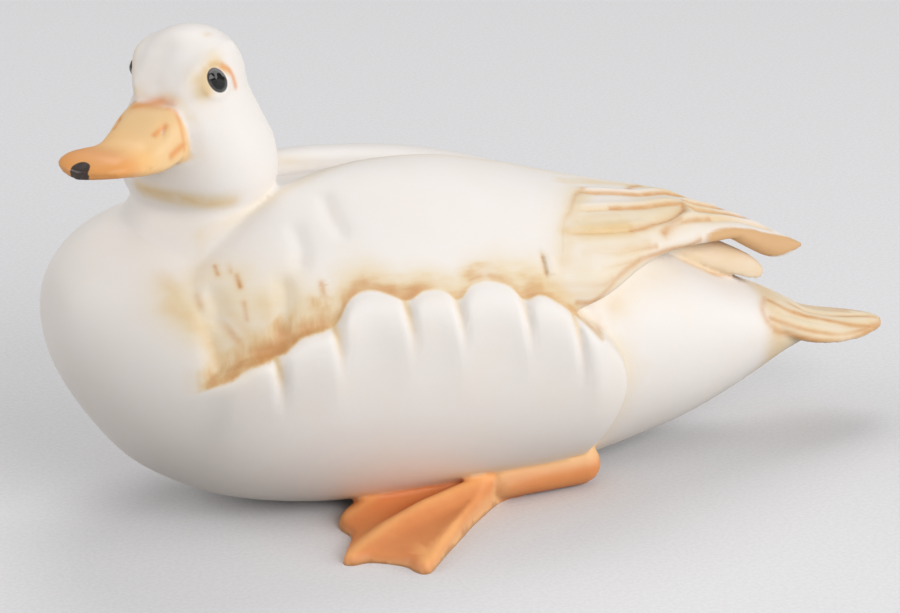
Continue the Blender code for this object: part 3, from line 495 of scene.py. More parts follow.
# Where painted parts start and are whole: along X, across Y, or by how far the skin faces down.
CREASE_WIDTH, CREASE_STRENGTH = 1.3, 0.55
FAR_TIP_ALONG, FAR_TIP_ACROSS = (76, 84), (-9.6, -8.4)
UNDERSIDE_ALONG, TURNED_ALONG, TURNED_DOWN = (82, 89), (84, 90), (0.05, 0.4)
RUMP_HEIGHT = 44
SHANK_ALONG, SHANK_HEIGHT = (18, 26), (5.5, 10.5)
# Where the painted shade on the web under the belly starts and is whole, along X and across Y.
BELLY_SHADE_ALONG, BELLY_SHADE_ACROSS = (-22, -4), (-34, -24)

# How far ahead the bill's root lies, how much it curves back to the sides, and where its tip's tint is.
BILL_ROOT, BILL_ROOT_CURVE, BILL_ROOT_SIDE = 16.6, 0.022, 9.5
BILL_TIP_AHEAD = (20, 46)

# Distances that stand for far off, in measuring and in painting.
FAR_OFF = 30
UNPAINTED = 9.0


def colour(name, description, red, green, blue):
    """A setting for an opaque colour."""
    return bpy.props.FloatVectorProperty(
        name=name, description=description, default=(red, green, blue, 1.0),
        size=4, subtype="COLOR", min=0.0, max=1.0,
    )


class DuckForm(bpy.types.PropertyGroup):
    """Sizes of the duck's sculpting."""

    voxel: bpy.props.FloatProperty(
        name="Clay grain",
        description="Size of the voxels that the forms are fused at",
        default=0.0007,
        min=0.0004,
        subtype="DISTANCE",
        unit="LENGTH",
    )
    soften: bpy.props.IntProperty(
        name="Softening",
        description="Passes of smoothing over the fused forms",
        default=3,
        min=0,
    )
    facets: bpy.props.IntProperty(
        name="Facets",
        description="Triangles left after the sculpted skin is thinned out",
        default=196000,
        min=1000,
    )
    line_depth: bpy.props.FloatProperty(
        name="Feather line depth",
        description="How deep the feather edges are carved",
        default=0.0004,
        subtype="DISTANCE",
        unit="LENGTH",
    )
    crest_height: bpy.props.FloatProperty(
        name="Feather crest height",
        description="How far a feather's edge stands over the one below it",
        default=0.0005,
        subtype="DISTANCE",
        unit="LENGTH",
    )


class DuckFinish(bpy.types.PropertyGroup):
    """Colours of the bisque and of its hand tinting."""

    bisque: colour("Bisque", "The bare fired body", 0.86, 0.815, 0.78)
    # Cream also paints the shade in the step behind the flank feathers' rear edge.
    cream: colour("Cream", "The pale wash over feathers", 0.80, 0.64, 0.38)
    tan: colour("Tan", "The soft brown between feathers", 0.74, 0.50, 0.22)
    rust: colour("Rust", "The brown rubbed into creases", 0.63, 0.325, 0.13)
    horn: colour("Bill base", "The pale root of the bill", 0.87, 0.59, 0.30)
    orange: colour("Bill tip", "The orange of the bill", 0.80, 0.36, 0.11)
    amber: colour("Bill middle", "The deep yellow along the bill", 0.90, 0.54, 0.22)
    web: colour("Web", "The deep orange of the webs", 0.74, 0.26, 0.085)
    toe: colour("Toe", "The lighter orange of toes and shank", 0.90, 0.42, 0.15)
    under: colour("Blade underside", "The brown under a wing's tip", 0.66, 0.37, 0.14)
    streak: colour("Streak", "The orange touches on bill and face", 0.80, 0.33, 0.10)
    pupil: colour("Pupil", "The black enamel of the eyes", 0.004, 0.004, 0.004)
    iris: colour("Eye rim", "The grey that rings the pupils", 0.06, 0.055, 0.055)
    nail: colour("Nail", "The dark nail at the end of the bill", 0.055, 0.035, 0.027)


class DuckStudio(bpy.types.PropertyGroup):
    """The floor, the lamps and the camera."""

    floor: colour("Floor", "Colour of the floor", 0.785, 0.78, 0.795)
    bounce: colour("Floor bounce", "What the floor throws back on the duck", 0.33, 0.315, 0.30)
    sky: bpy.props.FloatProperty(
        name="Ambient", description="Strength of the light from all round", default=0.35, min=0.0
    )
    key: bpy.props.FloatProperty(
        name="Right lamp", description="Power of the low lamp on the right", default=5.6, unit="POWER"
    )
    front: bpy.props.FloatProperty(
        name="Front lamp", description="Power of the lamp in front on the right", default=8.2, unit="POWER"
    )
    left: bpy.props.FloatProperty(
        name="Left lamp", description="Power of the lamp on the left", default=5.3, unit="POWER"
    )
    back: bpy.props.FloatProperty(
        name="Back lamp", description="Power of the lamp behind and above", default=4.6, unit="POWER"
    )
    distance: bpy.props.FloatProperty(
        name="Camera distance", description="From the camera to what it looks at", default=1.0,
        subtype="DISTANCE", unit="LENGTH",
    )
    azimuth: bpy.props.FloatProperty(
        name="Camera azimuth", description="Round the duck from its side", default=math.radians(-22.0),
        subtype="ANGLE", unit="ROTATION",
    )
    elevation: bpy.props.FloatProperty(
        name="Camera elevation", description="Above the horizon", default=math.radians(20.0),
        subtype="ANGLE", unit="ROTATION",
    )


# The painted eye's slant, and the squares of half its length and of half its height.
EYE_LEAN = 0.25
ALMOND = (8.4, 11.5)
BISQUE_ROUGHNESS = 0.5
ENAMEL_ROUGHNESS = 0.06
GRAIN_DEPTH = 0.0002

# What the camera and the lamps look at, and what one pixel shows a metre away, in millimetres.
AIM = Vector((0.0212, 0.0083, 0.0430))
LAMP_DISTANCE = 1.3
LAMP_SIZE = 0.8
SENSOR_WIDTH = 36.0
PIXELS_ACROSS, PIXEL_SHOWS = 900, 0.27
FOCAL_LENGTH = SENSOR_WIDTH / PIXELS_ACROSS / PIXEL_SHOWS * 1000


def through(places, values, at):
    """A smooth curve through values given at rising places, read at other places."""
    places = np.asarray(places, float)
    values = np.asarray(values, float)
    slopes = np.gradient(values, places, axis=0)
    at = np.asarray(at, float)
    left = np.clip(np.searchsorted(places, at) - 1, 0, len(places) - 2)
    span = places[left + 1] - places[left]
    t = (at - places[left]) / span
    shape = (-1,) + (1,) * (values.ndim - 1)
    t, span = t.reshape(shape), span.reshape(shape)
    return (
        values[left] * (1 + 2 * t) * (1 - t) ** 2
        + slopes[left] * span * t * (1 - t) ** 2
        + values[left + 1] * t * t * (3 - 2 * t)
        + slopes[left + 1] * span * t * t * (t - 1)
    )


def read_table(table, at):
    """What a table with rising places in front says at other places, held level past its ends."""
    table = np.array(table)
    values = table[:, 1] if table.shape[1] == 2 else table[:, 1:]
    return through(table[:, 0], values, np.clip(at, table[0, 0], table[-1, 0])).T


def rows_between(sections, count):
    """The sections' own numbers, read at count even steps from the first section to the last."""
    steps = np.arange(len(sections))
    return through(steps, sections, np.linspace(0, len(sections) - 1, count))


def loft(name, rings):
    """A closed shell through rings of points, capped flat at both ends. Points are in millimetres."""
    mesh = bpy.data.meshes.new(name)
    bm = bmesh.new()
    made = [[bm.verts.new(np.asarray(point) * MM) for point in ring] for ring in rings]
    for near, far in zip(made, made[1:]):
        for k in range(len(near)):
            after = (k + 1) % len(near)
            bm.faces.new((near[k], near[after], far[after], far[k]))
    bm.faces.new(reversed(made[0]))
    bm.faces.new(made[-1])
    bmesh.ops.recalc_face_normals(bm, faces=bm.faces)
    bm.to_mesh(mesh)
    bm.free()
    obj = bpy.data.objects.new(name, mesh)
    bpy.context.scene.collection.objects.link(obj)
    return obj


def round_turn(count):
    return np.linspace(0, 2 * math.pi, count, endpoint=False)


def bell(distance, width):
    return np.exp(-((distance / width) ** 2))


def rise_at(value, width):
    """From 0 below zero to 1 above it, over about twice the width."""
    return 1 / (1 + np.exp(-np.clip(value / width, -40, 40) * 2))


def lobes(x, z):
    """How far the flank's lobed feathers stand out of the plain body, and sink under the wing."""
    line = read_table(SCALLOPS, x)
    below = line - z
    along = rise_at(x - SCALLOPS[0][0] - LOBE_CLEAR_OF_BREAST, LOBE_FADE)
    along = along * rise_at(SCALLOPS[-1][0] - x, LOBE_FADE)
    lobe = LOBE_RISE + LOBE_RISE_PER_HEIGHT * np.maximum(line - LOBE_BASE, 0)
    lobe = lobe * bell(np.maximum(below, 0), LOBE_REACH)
    lobe = lobe * (1 - LOBE_ROUNDED_SHARE * bell(np.maximum(below, 0), LOBE_ROUNDING))
    groove = sum(bell(x - place - GROOVE_LEAN * below, GROOVE_WIDTH) for place in GROOVES)
    groove = GROOVE_DEPTH * groove * bell(np.maximum(below, 0), GROOVE_REACH)
    under = rise_at(below, TUCK_EDGE)
    return along * (under * (lobe - groove) - (1 - under) * TUCK_UNDER_WING)


def step_behind(x, z):
    """How far the abdomen lies in from the flank feathers' rear edge."""
    behind = x - read_table(FLANK_REAR, z)
    return FLANK_STEP * rise_at(behind, FLANK_STEP_WIDTH) * bell(np.maximum(behind, 0), ABDOMEN_REACH)


def body_shell():
    """The body without wings."""
    points, count = BODY_GRID
    turn = round_turn(points)
    rings = []
    for x, back, belly, half_width, wide in rows_between(BODY_SECTIONS, count):
        reach = np.where(np.sin(turn) > 0, back - wide, wide - belly)
        y = half_width * np.cos(turn)
        z = wide + reach * np.sin(turn)
        out = lobes(x, z) - step_behind(x, z)
        y = y + np.cos(turn) * out * rise_at(np.abs(y) - SPINE_CLEAR, SPINE_BLEND)
        rings.append(np.column_stack((np.full_like(y, x), y, z)))
    return loft("body", rings)


def head_axes():
    """The directions ahead, aside to the left and up, as the turned head has them."""
    yaw = math.radians(HEAD_YAW)
    ahead = np.array((-math.cos(yaw), -math.sin(yaw), 0.0))
    aside = np.array((math.sin(yaw), -math.cos(yaw), 0.0))
    return ahead, aside, np.array((0.0, 0.0, 1.0))


def head_shell():
    """Neck and head together."""
    ahead, aside = head_axes()[:2]
    turn = round_turn(HEAD_GRID[0])
    rings = []
    for z, x, y, depth, width in rows_between(HEAD_SECTIONS, HEAD_GRID[1]):
        across = np.outer(depth * np.cos(turn), ahead) + np.outer(width * np.sin(turn), aside)
        rings.append(np.array((x, y, z)) + across)
    return loft("head", rings)


def bill():
    ahead, aside, up = head_axes()
    turn = round_turn(BILL_GRID[0])
    square = np.sign(np.cos(turn)) * np.abs(np.cos(turn)) ** BILL_SQUARENESS
    rings = []
    for reach, half_width, culmen, edge in rows_between(BILL_SECTIONS, BILL_GRID[1]):
        above = edge + (culmen - edge) * np.abs(np.sin(turn)) ** BILL_SQUARENESS
        below = edge + BILL_BELLY * np.sin(turn)
        across = np.outer(half_width * square, aside)
        upward = np.outer(np.where(np.sin(turn) > 0, above, below), up)
        rings.append(np.array(HEAD_MIDDLE) + reach * ahead + across + upward)
    return loft("bill", rings)


def eye(side):
    ahead, aside, up = head_axes()
    forward, out, rise = EYE_PLACE
    place = np.array(HEAD_MIDDLE) + forward * ahead + side * out * aside + rise * up
    bpy.ops.mesh.primitive_uv_sphere_add(
        segments=32, ring_count=24, radius=EYE_RADIUS * MM, location=place * MM
    )
    return bpy.context.object


def quarter(from_ridge, to_edge, turn):
    """A quarter of an ellipse that leaves the ridge level and reaches the edge upright."""
    part = np.column_stack((np.cos(turn), np.sin(turn)))
    middle = np.array((from_ridge[0], to_edge[1]))
    return middle + part * (to_edge[0] - from_ridge[0], from_ridge[1] - to_edge[1])


def lip(start, end, outward):
    """A rounded edge between two places of a section, bulging towards outward."""
    half = (np.asarray(start) - end) / 2
    bulge = np.array((-half[1], half[0]))
    bulge = bulge * np.sign(bulge @ outward) * min(1, LIP_BULGE / np.linalg.norm(half))
    turn = np.linspace(0, math.pi, LIP_POINTS + 2)[1:-1, None]
    return (np.asarray(start) + end) / 2 + np.cos(turn) * half + np.sin(turn) * bulge


def wing(name, sections, side):
    """A folded wing: a sheet bent over the back from its inner edge, over its ridge, to its lower edge."""
    rings = []
    for row in rows_between(sections, WING_SLICES):
        x, inner, ridge, edge, thickness = row[0], row[1:3], row[3:5], row[5:7], row[7]
        inside = quarter(ridge, inner, np.linspace(0, math.pi / 2, INNER_POINTS)[:-1])
        outside = quarter(ridge, edge, np.linspace(math.pi / 2, 0, OUTER_POINTS))
        skin = np.vstack((inside, outside))
        inward = np.array((ridge[0], edge[1] - thickness / 3)) - skin
        away = np.linalg.norm(inward, axis=1)[:, None]
        under = skin + np.minimum(thickness / away, WING_CORE) * inward
        section = np.vstack((skin, lip(skin[-1], under[-1], (0, -1)), under[::-1]))
        rings.append(np.column_stack((np.full(len(section), x), side * section[:, 0], section[:, 1])))
    return loft(name, rings)


def round_bar(name, sections):
    """A bar of round sections on the near side, under a wing's tip."""
    turn = round_turn(BAR_GRID[0])
    rings = []
    for x, out, height, half_width, half_height in rows_between(sections, BAR_GRID[1]):
        y = -(out + half_width * np.cos(turn))
        z = height + half_height * np.sin(turn)
        rings.append(np.column_stack((np.full_like(y, x), y, z)))
    return loft(name, rings)


def tail():
    turn = round_turn(TAIL_GRID[0])
    rings = []
    for x, middle, half_width, half_thickness, droop in rows_between(TAIL, TAIL_GRID[1]):
        y = half_width * np.cos(turn)
        blunt = np.sign(np.sin(turn)) * np.abs(np.sin(turn)) ** TAIL_SQUARENESS
        z = middle + half_thickness * blunt - droop * np.cos(turn) ** 2
        rings.append(np.column_stack((np.full_like(y, x), y, z)))
    return loft("tail", rings)


def tube(start, end, start_radius, end_radius):
    """A tapering round bar between two points, with rounded ends."""
    start, end = np.array(start, float), np.array(end, float)
    along = (end - start) / np.linalg.norm(end - start)
    aside = np.cross(along, (0.0, 0.0, 1.0))
    aside = aside / np.linalg.norm(aside)
    above = np.cross(aside, along)
    turn = round_turn(SHANK_POINTS)
    rings = []
    near_end, far_end = (start, start_radius, (-78, -55, -30, 0)), (end, end_radius, (0, 30, 55, 78))
    for place, radius, tilts in (near_end, far_end):
        for tilt in np.radians(tilts):
            middle = place + radius * math.sin(tilt) * along
            spread = radius * math.cos(tilt)
            across = np.outer(spread * np.cos(turn), aside)
            rings.append(middle + across + np.outer(spread * np.sin(turn), above))
    return loft("bar", rings)


def closest(points, line):
    """The distance from each point to a line drawn through places."""
    best = np.full(len(points), np.inf)
    for start, end in zip(np.asarray(line)[:-1], np.asarray(line)[1:]):
        along = end - start
        part = np.clip((points - start) @ along / (along @ along), 0, 1)
        best = np.minimum(best, np.linalg.norm(points - start - part[:, None] * along, axis=1))
    return best


def inside_outline(points, outline):
    """How far each point lies inside a closed outline, and how far outside as a negative number."""
    ring = np.vstack((outline, outline[:1]))
    inside = np.zeros(len(points), bool)
    for start, end in zip(ring[:-1], ring[1:]):
        spans = (start[1] > points[:, 1]) != (end[1] > points[:, 1])
        rise = end[1] - start[1] or 1.0
        crossing = start[0] + (points[:, 1] - start[1]) / rise * (end[0] - start[0])
        inside ^= spans & (points[:, 0] < crossing)
    return np.where(inside, 1, -1) * closest(points, ring)


def foot_height(x, out):
    """The height of a webbed foot's top over the ground: toes with the web between them."""
    outline = np.array(FOOT_OUTLINE)
    ring = np.vstack((outline[-2:], outline, outline[:2]))
    steps = np.arange(len(ring))
    outline = through(steps, ring, np.linspace(2, len(outline) + 2, OUTLINE_POINTS, endpoint=False))
    spots = np.column_stack((x, out))
    web = WEB_AT_TIPS + WEB_SLOPE * (x - TOE_TIPS_AT)
    top = web
    for toe in TOES:
        toe = np.array(toe)
        crest = np.interp(x, toe[:, 0], toe[:, 2])
        top = np.maximum(top, web + (crest - web) * bell(closest(spots, toe[:, :2]), TOE_WIDTH))
    into = np.clip(inside_outline(spots, outline) / FOOT_EDGE, 0, 1)
    return (top + FOOT_SUNK) * np.sqrt(1 - (1 - into) ** 2) - FOOT_SUNK


def foot(side):
    """A webbed foot laid flat, with its shank lying back along the ground under the flank."""
    low = np.min(FOOT_OUTLINE, axis=0) - FOOT_MARGIN
    high = np.max(FOOT_OUTLINE, axis=0) + FOOT_MARGIN
    out = np.arange(low[1], high[1], FOOT_GRID)
    rings = []
    for x in np.arange(low[0], high[0], FOOT_GRID):
        top = np.column_stack((np.full_like(out, x), side * out, foot_height(np.full_like(out, x), out)))
        under = top[::-1] * (1, 1, 0) - (0, 0, 2 * FOOT_SUNK)
        rings.append(np.vstack((top, under)))
    ankle, hock = np.multiply(ANKLE, (1, side, 1)), np.multiply(HOCK, (1, side, 1))
    shank = tube(ankle, hock, SHANK_RADIUS, HOCK_RADIUS)
    return [loft("foot", rings), shank]


def near_line(points, line, reach):
    """For points within reach of a line through places: which they are, how far from it, the
    nearest place on it, the line's direction there, and how far along it that is, from 0 to 1."""
    line = np.asarray(line, float)
    low, high = line.min(axis=0) - reach, line.max(axis=0) + reach
    some = np.flatnonzero(np.all((points > low) & (points < high), axis=1))
    spots = points[some]
    best = np.full(len(some), np.inf)
    place = np.zeros((len(some), 3))
    way = np.zeros((len(some), 3))
    share = np.zeros(len(some))
    lengths = np.linalg.norm(np.diff(line, axis=0), axis=1)
    before = np.concatenate(([0.0], np.cumsum(lengths)))
    for k, (start, end) in enumerate(zip(line[:-1], line[1:])):
        along = end - start
        part = np.clip((spots - start) @ along / (along @ along), 0, 1)
        there = start + part[:, None] * along
        distance = np.linalg.norm(spots - there, axis=1)
        closer = distance < best
        best[closer] = distance[closer]
        place[closer] = there[closer]
        way[closer] = along / lengths[k]
        share[closer] = ((before[k] + part * lengths[k]) / before[-1])[closer]
    return some, best, place, way, share


def bend_through(line):
    """A line through places, drawn as a smooth curve with many more places."""
    line = np.asarray(line, float)
    if len(line) < 3:
        return line
    return through(np.arange(len(line)), line, np.linspace(0, len(line) - 1, 5 * len(line)))


def on_far_wing(points):
    """The far wing's points, moved to where they would be on the near wing."""
    near_ridge, far_ridge = np.array(NEAR_WING)[:, [0, 4]], np.array(FAR_WING)[:, [0, 4]]
    x = points[:, 0]
    drop = read_table(near_ridge, x) - read_table(far_ridge, x)
    return points + np.column_stack((np.zeros_like(x), np.zeros_like(x), drop))


def both_wings(points):
    """The skin seen from each wing: its points there, and which of them belong to it."""
    near, far = points[:, 1] < NEAR_WING_TO, points[:, 1] > FAR_WING_FROM
    return (points * MIRRORED, near), (on_far_wing(points), far)


def feather_relief(points, normals, form):
    """How far the skin rises along its normals at the feather edges, and sinks beside them."""
    rise = np.zeros(len(points))
    depth, crest = form.line_depth / MM, form.crest_height / MM
    edges = [(line, 1.0) for line in WING_LINES] + [(line, SOFT_SHARE) for line in SOFT_LINES]
    for (spots, own), faced in zip(both_wings(points), (normals * MIRRORED, normals)):
        for line, strength in edges:
            some, away, place, way, share = near_line(spots, bend_through(line), LINE_REACH)
            over = np.einsum("ij,ij->i", spots[some] - place, np.cross(way, faced[some]))
            across = np.where(over > 0, away, -away)
            ends = np.minimum(1, np.minimum(share, 1 - share) * END_SLOPE + END_SHARE)
            step = crest * bell(across - CREST_AT, CREST_WIDTH)
            step = step - depth * bell(across + CARVED_AT, CARVED_WIDTH)
            step = step - HOLLOW_SHARE * depth * bell(across + HOLLOW_AT, HOLLOW_WIDTH)
            rise[some] += strength * ends * step * own[some]
        for line in WING_DENTS:
            some, away = near_line(spots, bend_through(line), DENT_REACH)[:2]
            rise[some] -= DENT_DEPTH * bell(away, DENT_WIDTH) * own[some]
    for spots in (points, points * MIRRORED):
        for line in TAIL_LINES:
            some, away = near_line(spots, bend_through(line), LINE_REACH)[:2]
            rise[some] -= TAIL_LINE_SHARE * depth * bell(away, TAIL_LINE_WIDTH)
    return rise


def on_head(points):
    """How far points lie ahead of the middle of the head, aside of it and above it."""
    return (points - np.array(HEAD_MIDDLE)) @ np.array(head_axes()).T


def head_relief(points):
    """The lids and sockets of the eyes, the nostrils and the line where the bill closes."""
    ahead, aside, up = on_head(points).T
    forward, rise = EYE_PLACE[0], EYE_PLACE[2]
    beside = np.abs(aside)
    from_eye = np.hypot(ahead - forward, (up - rise) * EYE_FLATNESS)
    change = np.zeros(len(points))
    for height, distance, width in (EYE_RIM, EYE_SOCKET):
        change = change + height * bell(from_eye - distance, width)
    change = change * rise_at(beside - 6, 1)
    head = np.column_stack((ahead, beside, up))
    for height, width, line in HEAD_FOLDS:
        change = change + height * bell(closest(head, bend_through(line)), width)
    onward, over = ahead - NOSTRIL_PLACE[0], up - NOSTRIL_PLACE[1]
    nostril = np.hypot((onward + NOSTRIL_SLANT * over) / NOSTRIL_SIZE[0], over / NOSTRIL_SIZE[1])
    change = change - NOSTRIL_DEPTH * bell(nostril, 1.0) * rise_at(beside - 4, 0.6)
    closing = read_table(np.array(BILL_SECTIONS)[:, [0, 3]], ahead) - CLOSING_DROP
    change = change - CLOSING_DEPTH * bell(up - closing, CLOSING_WIDTH) * rise_at(ahead - CLOSING_FROM, 1.5)
    return change * rise_at(up + 30, 2)


def corners(obj, name):
    """The places or the normals of an object's corners, as rows."""
    values = np.empty(3 * len(obj.data.vertices))
    obj.data.vertices.foreach_get(name, values)
    return values.reshape(-1, 3)


def sculpt(skin, form):
    """Press the finer forms into the skin, along its own normals."""
    places, normals = corners(skin, "co") / MM, corners(skin, "normal")
    rise = feather_relief(places, normals, form) + head_relief(places)
    places += normals * rise[:, None]
    skin.data.vertices.foreach_set("co", places.ravel() * MM)
    skin.data.update()


def cut_flat(skin):
    """Cut away what lies below the ground, and close the flat that the duck rests on."""
    bm = bmesh.new()
    bm.from_mesh(skin.data)
    everything = bm.verts[:] + bm.edges[:] + bm.faces[:]
    cut = bmesh.ops.bisect_plane(
        bm, geom=everything, plane_co=(0, 0, 0), plane_no=(0, 0, 1), clear_inner=True
    )
    rim = [edge for edge in cut["geom_cut"] if isinstance(edge, bmesh.types.BMEdge)]
    bmesh.ops.triangle_fill(bm, edges=rim, use_beauty=True)
    bmesh.ops.recalc_face_normals(bm, faces=bm.faces)
    bm.to_mesh(skin.data)
    bm.free()


def fuse(name, shells, form):
    """Join closed shells and melt them into one skin, returned as a plain mesh object."""
    bpy.ops.object.select_all(action="DESELECT")
    for shell in shells:
        shell.select_set(True)
    bpy.context.view_layer.objects.active = shells[0]
    bpy.ops.object.join()
    fused = bpy.context.object
    fused.name = name
    fused.data.name = name
    remesh = fused.modifiers.new("fuse", "REMESH")
    remesh.mode = "VOXEL"
    remesh.voxel_size = form.voxel
    smooth = fused.modifiers.new("soften", "SMOOTH")
    smooth.factor = 0.5
    smooth.iterations = form.soften
    settle(fused)
    return fused


def settle(obj):
    """Apply all of an object's modifiers."""
    bpy.context.view_layer.objects.active = obj
    for modifier in list(obj.modifiers):
        bpy.ops.object.modifier_apply(modifier=modifier.name)


def thin_out(obj, triangles, detail):
    """Thin out the skin, most where nothing is drawn or carved on it."""
    plain = obj.vertex_groups.new(name="plain")
    levels = np.round(np.clip(1 - detail, 0, 1) * 10).astype(int)
    for level in range(1, 11):
        plain.add(np.flatnonzero(levels == level).tolist(), level / 10, "REPLACE")
    decimate = obj.modifiers.new("facets", "DECIMATE")
    decimate.vertex_group = "plain"
    decimate.vertex_group_factor = 2.0
    faces = sum(len(face.vertices) - 2 for face in obj.data.polygons)
    decimate.ratio = min(1.0, triangles / faces)
    settle(obj)
    obj.vertex_groups.clear()


def refine(skin, detail):
    """Halve the faces' sides where fine strokes and edges are drawn."""
    bm = bmesh.new()
    bm.from_mesh(skin.data)
    drawn = [edge for edge in bm.edges if min(detail[corner.index] for corner in edge.verts) > 0.3]
    bmesh.ops.subdivide_edges(bm, edges=drawn, cuts=1, use_grid_fill=True)
    bm.to_mesh(skin.data)
    bm.free()


def how_near(shells, limit):
    """A measure of how far points are from the closest of these shells, up to a limit."""
    trees = []
    for shell in shells:
        places = [corner.co / MM for corner in shell.data.vertices]
        faces = [tuple(face.vertices) for face in shell.data.polygons]
        trees.append(BVHTree.FromPolygons(places, faces))

    def measure(points):
        found = np.full(len(points), float(limit))
        for k, point in enumerate(points):
            for tree in trees:
                away = tree.find_nearest(point, limit)[3]
                if away is not None:
                    found[k] = min(found[k], away)
        return found

    return measure


def smooth_between(value, low, high):
    t = np.clip((value - low) / (high - low), 0, 1)
    return t * t * (3 - 2 * t)


def strokes(spots, own, table, soften=1.0):
    """How strongly each point is painted by a table of strokes."""
    mask = np.zeros(len(spots))
    for width, strength, line in table:
        some, away = near_line(spots, bend_through(line), 3 * width * soften)[:2]
        mask[some] = np.maximum(mask[some], strength * bell(away, width * soften) * own[some])
    return mask


def drawn_detail(points):
    """Where fine strokes, eyes and edges need small facets, from 0 to 1."""
    everywhere = np.ones(len(points))
    detail = np.zeros(len(points))
    for spots, own in both_wings(points):
        for line in WING_LINES + SOFT_LINES:
            some, away = near_line(spots, bend_through(line), DETAIL_REACH)[:2]
            detail[some] = np.maximum(detail[some], bell(away, DETAIL_WIDTH) * own[some])
        detail = np.maximum(detail, strokes(spots, own, RUST_STROKES, RUST_SPREAD))
    for spots in (points, points * MIRRORED):
        detail = np.maximum(detail, strokes(spots, everywhere, TAIL_STROKES, TAIL_SPREAD))
    ahead, aside, up = on_head(points).T
    head = np.column_stack((ahead, np.abs(aside), up))
    detail = np.maximum(detail, strokes(head, everywhere, HEAD_ORANGE, HEAD_SPREAD))
    detail = np.maximum(detail, strokes(on_head(points), everywhere, FOREHEAD, HEAD_SPREAD))
    from_eye = np.linalg.norm(head - EYE_PLACE, axis=1)
    x, y, z = points.T
    ridge = read_table(SCALLOPS, x)
    valley = bell(z - ridge, 1.6) * (np.abs(y) > 28) * (x < 46)
    detail = np.maximum(np.maximum(detail, valley), smooth_between(-from_eye, -9, -6))
    return np.clip(DETAIL_GAIN * detail, 0, 1)


def valley_tint(x, y, z):
    """In the valley between the wing and the flank feathers: the rubbed brown, its line and the cream."""
    ridge = read_table(SCALLOPS, x)
    above = z - ridge
    strength, reach = read_table(VALLEY_STAIN, x)
    side = smooth_between(np.abs(y), 24, 32)
    edge = bell(np.minimum(above + 0.6, 0), 0.6) * side
    stain = np.clip(strength, 0, 1) * np.clip(1 - above / (1.9 * reach), 0, 1) * edge
    line = 0.75 * np.clip(1.3 * strength, 0, 1) * bell(above - 0.2, 0.7) * side
    cream = np.clip(1.6 * strength, 0, 1) * bell(np.maximum(above - reach, 0), 1.4 * reach) * edge
    below = np.maximum(-above, 0)
    groove = np.zeros_like(x)
    for place, tint in zip(GROOVES, GROOVE_TINT):
        streak = tint * bell(x - place - GROOVE_LEAN * below, GROOVE_STREAK)
        streak = streak * bell(below, STREAK_REACH) * (above < 1)
        groove = np.maximum(groove, streak * side)
    return stain, line, np.maximum(0.85 * cream, groove), 0.7 * groove


def underside(points, normals):
    """The brown under the near wing's tip."""
    x, y, z = points.T
    deep = smooth_between(-y - read_table(UNDERSIDE_FROM, x), -0.3, 0.5)
    deep = deep * smooth_between(x, *UNDERSIDE_ALONG)
    faces_down = smooth_between(-normals[:, 2], *TURNED_DOWN) * smooth_between(x, *TURNED_ALONG)
    over_far_tip = z > read_table(FAR_TIP, x)[1]
    return np.maximum(deep, faces_down * (y < 8)) * over_far_tip * (z > RUMP_HEIGHT)


def foot_tints(points, foot):
    """On the feet: the raised toes, the pale rim, painted shade on the web where it runs in under the
    belly, and the shank.
    """
    x, y, z = points.T
    out = np.abs(y)
    spots = np.column_stack((x, out, z))
    crest = np.zeros(len(points))
    for toe in TOES:
        some, away = near_line(spots, bend_through(toe), 8)[:2]
        crest[some] = np.maximum(crest[some], bell(away, 2.2))
    rim = np.zeros(len(points))
    low_down = np.flatnonzero((z < 12) & (foot > 0))
    within = inside_outline(spots[low_down, :2], bend_through(FOOT_OUTLINE))
    rim[low_down] = 0.7 * bell(np.maximum(within - 0.1, 0), 0.4)
    # Painted shade: the web is darker where it runs in under the overhanging belly.
    hollow = smooth_between(x, *BELLY_SHADE_ALONG) * smooth_between(-out, *BELLY_SHADE_ACROSS) * (1 - crest)
    shank = smooth_between(x, *SHANK_ALONG)
    return {
        "toe": crest * (1 - shank),
        "rim": rim * (1 - shank),
        "hollow": hollow * (1 - shank),
        "shank": shank * smooth_between(z, *SHANK_HEIGHT),
    }


